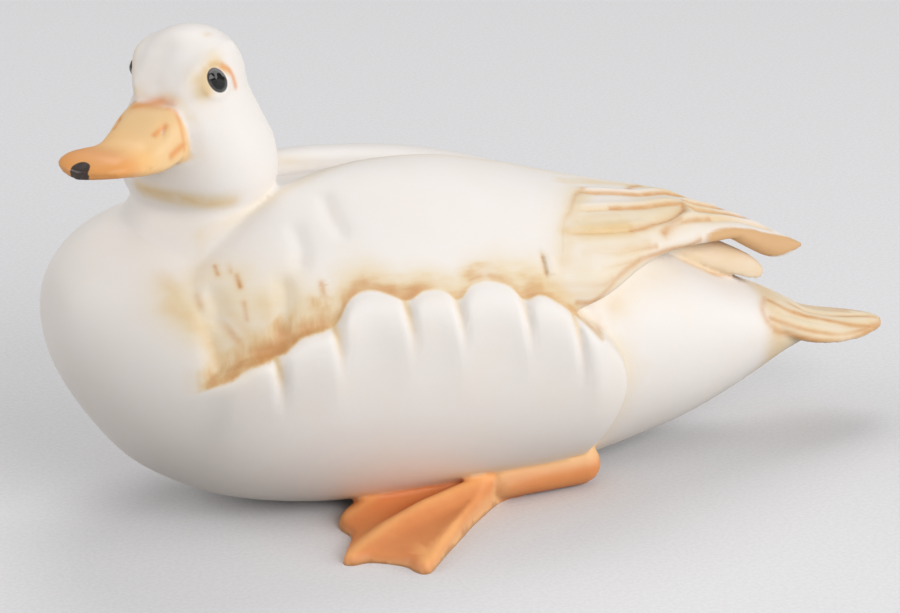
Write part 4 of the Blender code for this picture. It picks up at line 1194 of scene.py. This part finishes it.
def tints(points, normals, near_bill, near_feet):
    """The painted masks of each point, from 0 to 1, by name."""
    x, y, z = points.T
    count = len(points)
    everywhere = np.ones(count)
    stain, line, cream, tan = valley_tint(x, y, z)
    rust, halo = np.zeros(count), np.zeros(count)
    for spots, own in both_wings(points):
        rust = np.maximum(rust, strokes(spots, own, RUST_STROKES))
        tan = np.maximum(tan, strokes(spots, own, TAN_STROKES))
        cream = np.maximum(cream, strokes(spots, own, CREAM_STROKES))
        halo = np.maximum(halo, strokes(spots, own, RUST_STROKES, HALO_SPREAD))
        creases = [(CREASE_WIDTH, CREASE_STRENGTH, line) for line in WING_LINES + SOFT_LINES]
        tan = np.maximum(tan, strokes(spots, own, creases))
    low, high = read_table(FAR_TIP, x)
    far_tip = smooth_between(z - low, -0.4, 0.5) * smooth_between(high - z, -0.3, 0.4) * (x < 112)
    far_tip = far_tip * smooth_between(x, *FAR_TIP_ALONG) * smooth_between(y, *FAR_TIP_ACROSS)
    for spots in (points, points * MIRRORED):
        rust = np.maximum(rust, strokes(spots, everywhere, TAIL_STROKES))
        halo = np.maximum(halo, strokes(spots, everywhere, TAIL_STROKES, HALO_SPREAD))
    # A thin brown line along the far tip's lower edge, where it rests on the rump: partly painted shade of
    # that crease.
    rust = np.maximum(rust, 0.7 * far_tip * bell(z - low, 0.6))
    tan = np.maximum(tan, np.maximum(0.5 * far_tip, 0.5 * halo))
    cream = np.maximum(cream, smooth_between(x, 103, 110) * (z < high - 8) * 0.8)
    cream = np.maximum(cream, 0.4 * far_tip)
    tan = np.maximum(tan, 0.45 * bell(x - 109, 4) * (z < RUMP_HEIGHT))
    cream = np.maximum(cream, strokes(points, everywhere, THROAT_STROKES))
    ahead, aside, up = on_head(points).T
    beside = np.abs(aside)
    head = np.column_stack((ahead, beside, up))
    orange = strokes(head, everywhere, HEAD_ORANGE)
    orange = np.maximum(orange, strokes(on_head(points), everywhere, FOREHEAD))
    tan = np.maximum(tan, strokes(head, everywhere, HEAD_TAN))
    tan = np.maximum(tan, 0.5 * strokes(points, everywhere, THROAT_STROKES))
    cream = np.maximum(cream, strokes(head, everywhere, HEAD_CREAM))
    border = BILL_ROOT - BILL_ROOT_CURVE * np.minimum(beside, BILL_ROOT_SIDE) ** 2
    on_bill = smooth_between(ahead - border, -0.8, 0.8)
    some = np.flatnonzero((ahead > 8) & (up > -22))
    from_bill = np.full(count, UNPAINTED)
    from_bill[some] = near_bill(points[some])
    on_bill = on_bill * smooth_between(-from_bill, -1.1, -0.5)
    tip = smooth_between(ahead + 0.5 * beside * (aside < 0), *BILL_TIP_AHEAD)
    some = np.flatnonzero(z < 18)
    from_feet = np.full(count, UNPAINTED)
    from_feet[some] = near_feet(points[some])
    foot = smooth_between(-from_feet, -1.6, -0.5)
    glow = bell(from_feet, 3.5) * (1 - foot)
    tan = np.maximum(tan, 0.75 * bell(from_feet, 2.4) * smooth_between(-x, -34, -10))
    # Painted shade: a cream tint in the step just behind the flank feathers' rear edge, low on the body,
    # where they lap over the abdomen.
    rear = read_table(FLANK_REAR, z)
    behind = bell(np.maximum(x - rear - 1, 0), 4) * smooth_between(x - rear, -1.5, 1) * (np.abs(y) > 12)
    cream = np.maximum(cream, 0.5 * behind * smooth_between(-z, -56, -40))
    cream = np.maximum(cream, 0.6 * glow)
    return {
        "stain": stain,
        "line": line,
        "rust": rust,
        "tan": tan,
        "cream": cream,
        "deep": underside(points, normals),
        "orange": orange,
        "specks": strokes(head, aside > 0, SPECKS),
        "bill": on_bill,
        "bill_tip": tip,
        "foot": foot,
        **foot_tints(points, foot),
    }


class Signal:
    """A socket of a finish's nodes; arithmetic on it adds the Math nodes that work it out."""

    def __init__(self, finish, socket):
        self.finish = finish
        self.socket = socket

    def sum(self, operation, *values):
        return self.finish.add("ShaderNodeMath", {"operation": operation}, dict(enumerate(values)))

    def __add__(self, other):
        return self.sum("ADD", self, other)

    def __radd__(self, other):
        return self.sum("ADD", other, self)

    def __sub__(self, other):
        return self.sum("SUBTRACT", self, other)

    def __rsub__(self, other):
        return self.sum("SUBTRACT", other, self)

    def __mul__(self, other):
        return self.sum("MULTIPLY", self, other)

    def __rmul__(self, other):
        return self.sum("MULTIPLY", other, self)

    def __truediv__(self, other):
        return self.sum("DIVIDE", self, other)

    def __pow__(self, other):
        return self.sum("POWER", self, other)

    def most(self, other):
        return self.sum("MAXIMUM", self, other)


class Finish:
    """The nodes of one material."""

    def __init__(self, name):
        self.material = bpy.data.materials.new(name)
        self.material.use_nodes = True
        self.tree = self.material.node_tree
        self.tree.nodes.clear()

    def add(self, kind, settings=None, sockets=None, out=0):
        """A node of this type, its settings made first, then its sockets filled or linked."""
        node = self.tree.nodes.new(kind)
        for name, value in (settings or {}).items():
            if name == "stops":
                for element, (place, colour) in zip(self.stops_of(node, len(value)), value):
                    element.position = place
                    element.color = colour
            else:
                setattr(node, name, value)
        for key, value in (sockets or {}).items():
            if isinstance(value, Signal):
                self.tree.links.new(value.socket, node.inputs[key])
            else:
                node.inputs[key].default_value = value
        return Signal(self, node.outputs[out]) if node.outputs else None

    def stops_of(self, node, count):
        elements = node.color_ramp.elements
        while len(elements) < count:
            elements.new(0.5)
        return elements

    def mask(self, name):
        return self.add("ShaderNodeAttribute", {"attribute_name": name}, out="Fac")

    def place(self):
        return self.add("ShaderNodeTexCoord", out="Object")

    def noise(self, scale, detail=3.0, stretch=(1.0, 1.0, 1.0), roughness=0.55):
        spread = self.add(
            "ShaderNodeMapping", None, {"Vector": self.place(), "Scale": stretch}
        )
        sockets = {"Vector": spread, "Scale": scale, "Detail": detail, "Roughness": roughness}
        return self.add("ShaderNodeTexNoise", None, sockets)

    def between(self, value, low, high):
        """From 0 at low to 1 at high, eased at both."""
        settings = {"interpolation_type": "SMOOTHSTEP"}
        return self.add(
            "ShaderNodeMapRange", settings, {"Value": value, "From Min": low, "From Max": high}
        )

    def blend(self, share, first, second):
        settings = {"data_type": "RGBA", "clamp_factor": True}
        return self.add("ShaderNodeMix", settings, {0: share, 6: first, 7: second}, out=2)

    def vector(self, operation, *values, out=0):
        return self.add("ShaderNodeVectorMath", {"operation": operation}, dict(enumerate(values)), out)

    def reach(self, offset, direction):
        """How far an offset goes in a direction, as a number."""
        return self.vector("DOT_PRODUCT", offset, tuple(direction), out="Value")


def bisque_finish(colours):
    """Matt bisque under thin tints, with enamelled eyes and nail."""
    finish = Finish("tinted bisque")
    mottle = finish.noise(70.0, 4.0)
    fine = finish.noise(420.0, 3.0)
    brush = finish.noise(300.0, 4.0, (0.45, 1.0, 1.8))
    broken = 0.62 + 1.1 * (brush - 0.5) + 0.9 * (mottle - 0.35)

    cream = finish.mask("cream") * (0.5 + 0.55 * mottle + 0.5 * (brush - 0.5))
    tan = finish.mask("tan") * (0.65 + 0.6 * brush)
    rust = finish.mask("rust") * (broken + 0.15)
    upward = finish.noise(260.0, 5.0, (1.6, 1.6, 0.34))
    backward = finish.noise(260.0, 5.0, (0.3, 1.6, 1.6))
    along = finish.between(finish.reach(finish.place(), (1.0, 0.0, 0.0)), -0.034, -0.018)
    wisps = upward * (1 - along) + backward * along
    stain = finish.mask("stain")
    patches = finish.noise(110.0, 2.0)
    rubbed = stain + 0.9 * (wisps - 0.5) + 1.2 * (patches - 0.5)
    washed = finish.between(rubbed, -0.05, 0.75) * finish.between(stain, 0.0, 0.15)
    rubbed = finish.between(rubbed, 0.3, 1.1) * finish.between(stain, 0.0, 0.2)
    line = finish.mask("line") * finish.between(patches + 0.3 * (brush - 0.5), 0.36, 0.58)

    warm = finish.between(mottle, 0.35, 0.75) * 0.07
    colour = finish.blend(warm, tuple(colours.bisque), tuple(colours.cream))
    colour = finish.blend(cream, colour, tuple(colours.cream))
    colour = finish.blend(tan, colour, tuple(colours.tan))
    colour = finish.blend(0.7 * washed, colour, tuple(colours.tan))
    colour = finish.blend(rubbed.most(line), colour, tuple(colours.rust))
    colour = finish.blend(rust, colour, tuple(colours.rust))
    colour = finish.blend(0.9 * finish.mask("deep"), colour, tuple(colours.under))

    tip = finish.mask("bill_tip") + 0.25 * (mottle - 0.5)
    bill = finish.blend(finish.between(tip, 0.0, 0.5), tuple(colours.horn), tuple(colours.amber))
    bill = finish.blend(finish.between(tip, 0.4, 1.0), bill, tuple(colours.orange))
    colour = finish.blend(finish.mask("bill"), colour, bill)
    colour = finish.blend(0.85 * finish.mask("orange"), colour, tuple(colours.streak))
    colour = finish.blend(finish.mask("specks"), colour, tuple(colours.nail))

    # Lighter on the toes' crests, and darker in the painted shade under the belly.
    wear_and_shade = 0.75 * finish.mask("toe") + 0.9 * (mottle - 0.42) - 0.5 * finish.mask("hollow")
    foot = finish.blend(finish.between(wear_and_shade, -0.1, 0.8), tuple(colours.web), tuple(colours.toe))
    foot = finish.blend(0.8 * finish.mask("shank"), foot, tuple(colours.horn))
    foot = finish.blend(finish.mask("rim") * (0.3 + 0.9 * fine), foot, tuple(colours.horn))
    colour = finish.blend(finish.mask("foot"), colour, foot)

    ahead, aside, up = head_axes()
    offset = finish.vector("SUBTRACT", finish.place(), tuple(np.array(HEAD_MIDDLE) * MM))
    offset = finish.add("ShaderNodeVectorMath", {"operation": "SCALE"}, {0: offset, "Scale": 1 / MM})
    forward = finish.reach(offset, ahead)
    beside = finish.add("ShaderNodeMath", {"operation": "ABSOLUTE"}, {0: finish.reach(offset, aside)})
    rise = finish.reach(offset, up)

    eye_forward = forward - EYE_PLACE[0]
    eye_rise = rise - EYE_PLACE[2]
    lean = eye_forward - EYE_LEAN * eye_rise
    almond = (lean * lean / ALMOND[0] + eye_rise * eye_rise / ALMOND[1]) ** 0.5
    on_eye = finish.between(almond, 1.02, 0.92) * finish.between(beside, 6.0, 7.0)
    ring = finish.between(almond, 0.66, 0.78)
    eye_colour = finish.blend(ring, tuple(colours.pupil), tuple(colours.iris))
    colour = finish.blend(on_eye, colour, eye_colour)

    nail_place = (np.array(HEAD_MIDDLE) + np.array(NAIL_PLACE) @ np.array(head_axes())) * MM
    from_nail = finish.vector("DISTANCE", finish.place(), tuple(nail_place), out="Value")
    on_nail = finish.between(from_nail + 0.0003 * (fine - 0.5), *(edge * MM for edge in NAIL_EDGE))
    nail_colour = finish.blend(finish.between(fine, 0.4, 0.7), tuple(colours.nail), tuple(colours.iris))
    colour = finish.blend(on_nail, colour, nail_colour)

    roughness = BISQUE_ROUGHNESS - 0.08 * finish.mask("bill") + 0.1 * (fine - 0.5)
    roughness = roughness * (1 - on_eye) + ENAMEL_ROUGHNESS * on_eye
    roughness = roughness - 0.15 * on_nail
    grain = finish.add(
        "ShaderNodeBump",
        None,
        {"Strength": 0.12, "Distance": GRAIN_DEPTH, "Height": fine + 0.6 * mottle},
    )
    shader = finish.add(
        "ShaderNodeBsdfPrincipled",
        None,
        {
            "Base Color": colour,
            "Roughness": roughness,
            "Normal": grain,
            "Specular IOR Level": 0.4,
        },
    )
    finish.add("ShaderNodeOutputMaterial", None, {"Surface": shader})
    return finish.material


class DUCK_OT_cast(bpy.types.Operator):
    """Model the duck, carve its feathers and tint it"""

    bl_idname = "duck.cast"
    bl_label = "Cast the duck"

    def execute(self, context):
        form = context.scene.duck_form
        forms = [body_shell(), head_shell(), bill(), eye(1), eye(-1)]
        forms += [wing("near wing", NEAR_WING, -1), wing("far wing", FAR_WING, 1), tail()]
        forms += [round_bar("curl", TIP_CURL), round_bar("bed", TIP_BED)]
        beak, feet = forms[2], foot(-1) + foot(1)
        near_bill, near_feet = how_near([beak], FAR_OFF), how_near(feet, FAR_OFF)
        forms += feet
        duck = fuse("duck_figure", forms, form)
        refine(duck, drawn_detail(corners(duck, "co") / MM))
        sculpt(duck, form)
        cut_flat(duck)
        places = corners(duck, "co") / MM
        thin_out(duck, form.facets, drawn_detail(places))
        places, normals = corners(duck, "co") / MM, corners(duck, "normal")
        for name, mask in tints(places, normals, near_bill, near_feet).items():
            layer = duck.data.attributes.new(name, "FLOAT", "POINT")
            layer.data.foreach_set("value", np.clip(mask, 0, 1))
        duck.data.shade_smooth()
        duck.data.materials.clear()
        duck.data.materials.append(bisque_finish(context.scene.duck_finish))
        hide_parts("duck")
        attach(duck, "root")
        return {"FINISHED"}


class DUCK_OT_stage(bpy.types.Operator):
    """Lay the floor, hang the lamps and set up the camera"""

    bl_idname = "duck.stage"
    bl_label = "Set the stage"

    def execute(self, context):
        scene, studio = context.scene, context.scene.duck_studio
        lay_floor(studio)
        light_room(scene, studio)
        aim_camera(scene, studio)
        scene.view_settings.view_transform = "Standard"
        return {"FINISHED"}


def lay_floor(studio):
    bm = bmesh.new()
    bmesh.ops.create_grid(bm, x_segments=1, y_segments=1, size=4.0)
    mesh = bpy.data.meshes.new("floor")
    bm.to_mesh(mesh)
    bm.free()
    floor = bpy.data.objects.new("floor", mesh)
    bpy.context.scene.collection.objects.link(floor)
    finish = Finish("floor paper")
    speck = finish.noise(900.0, 2.0)
    pale = tuple(studio.floor)
    darker = tuple(0.94 * part for part in pale[:3]) + (1.0,)
    colour = finish.blend(finish.between(speck, 0.3, 0.7), darker, pale)
    rays = [finish.add("ShaderNodeLightPath", out=name) for name in
            ("Is Camera Ray", "Is Glossy Ray", "Is Transmission Ray")]
    seen = rays[0].most(rays[1]).most(rays[2])
    colour = finish.blend(seen, tuple(studio.bounce), colour)
    shader = finish.add("ShaderNodeBsdfPrincipled", None, {"Base Color": colour, "Roughness": 0.9})
    finish.add("ShaderNodeOutputMaterial", None, {"Surface": shader})
    mesh.materials.append(finish.material)


def outward(azimuth, elevation):
    """The way from the duck towards an azimuth and an elevation."""
    level = math.cos(elevation)
    return Vector((math.sin(azimuth) * level, -math.cos(azimuth) * level, math.sin(elevation)))


def lamp(name, way, power):
    """A round soft lamp that shines on the duck from this way."""
    data = bpy.data.lights.new(name, "AREA")
    data.shape = "DISK"
    data.size = LAMP_SIZE
    data.energy = power
    obj = bpy.data.objects.new(name, data)
    bpy.context.scene.collection.objects.link(obj)
    obj.location = AIM + LAMP_DISTANCE * way
    obj.rotation_mode = "QUATERNION"
    obj.rotation_quaternion = (-way).to_track_quat("-Z", "Y")


def light_room(scene, studio):
    world = bpy.data.worlds.new("room")
    world.use_nodes = True
    sky = world.node_tree.nodes["Background"]
    sky.inputs["Color"].default_value = (1.0, 1.0, 1.0, 1.0)
    sky.inputs["Strength"].default_value = studio.sky
    scene.world = world
    for name, turn, lift, power in (
        ("right", 82.0, 17.0, studio.key),
        ("front", 35.0, 25.0, studio.front),
        ("left", -75.0, 25.0, studio.left),
        ("back", 180.0, 55.0, studio.back),
    ):
        lamp(name, outward(studio.azimuth + math.radians(turn), math.radians(lift)), power)


def aim_camera(scene, studio):
    data = bpy.data.cameras.new("camera")
    data.sensor_width = SENSOR_WIDTH
    data.lens = FOCAL_LENGTH
    data.clip_start = 0.01
    camera = bpy.data.objects.new("camera", data)
    scene.collection.objects.link(camera)
    back = outward(studio.azimuth, studio.elevation)
    camera.location = AIM + studio.distance * back
    camera.rotation_mode = "QUATERNION"
    camera.rotation_quaternion = (-back).to_track_quat("-Z", "Y")
    scene.camera = camera


class DUCK_PT_panel(bpy.types.Panel):
    """The duck's sizes, colours and studio"""

    bl_idname = "DUCK_PT_panel"
    bl_label = "Bisque duck"
    bl_space_type = "VIEW_3D"
    bl_region_type = "UI"
    bl_category = "Duck"

    def draw(self, context):
        scene, layout = context.scene, self.layout
        for operator, group in (("duck.cast", scene.duck_form), ("duck.stage", scene.duck_studio)):
            box = layout.box()
            for name in group.__annotations__:
                box.prop(group, name)
            box.operator(operator)
        tinting = layout.box()
        for name in scene.duck_finish.__annotations__:
            tinting.prop(scene.duck_finish, name)


CLASSES = (DuckForm, DuckFinish, DuckStudio, DUCK_OT_cast, DUCK_OT_stage, DUCK_PT_panel)


def register():
    for item in CLASSES:
        bpy.utils.register_class(item)
    bpy.types.Scene.duck_form = bpy.props.PointerProperty(type=DuckForm)
    bpy.types.Scene.duck_finish = bpy.props.PointerProperty(type=DuckFinish)
    bpy.types.Scene.duck_studio = bpy.props.PointerProperty(type=DuckStudio)


def unregister():
    del bpy.types.Scene.duck_form
    del bpy.types.Scene.duck_finish
    del bpy.types.Scene.duck_studio
    for item in reversed(CLASSES):
        bpy.utils.unregister_class(item)


def main():
    register()
    bpy.ops.duck.cast()
    bpy.ops.duck.stage()


if __name__ == "__main__":
    main()
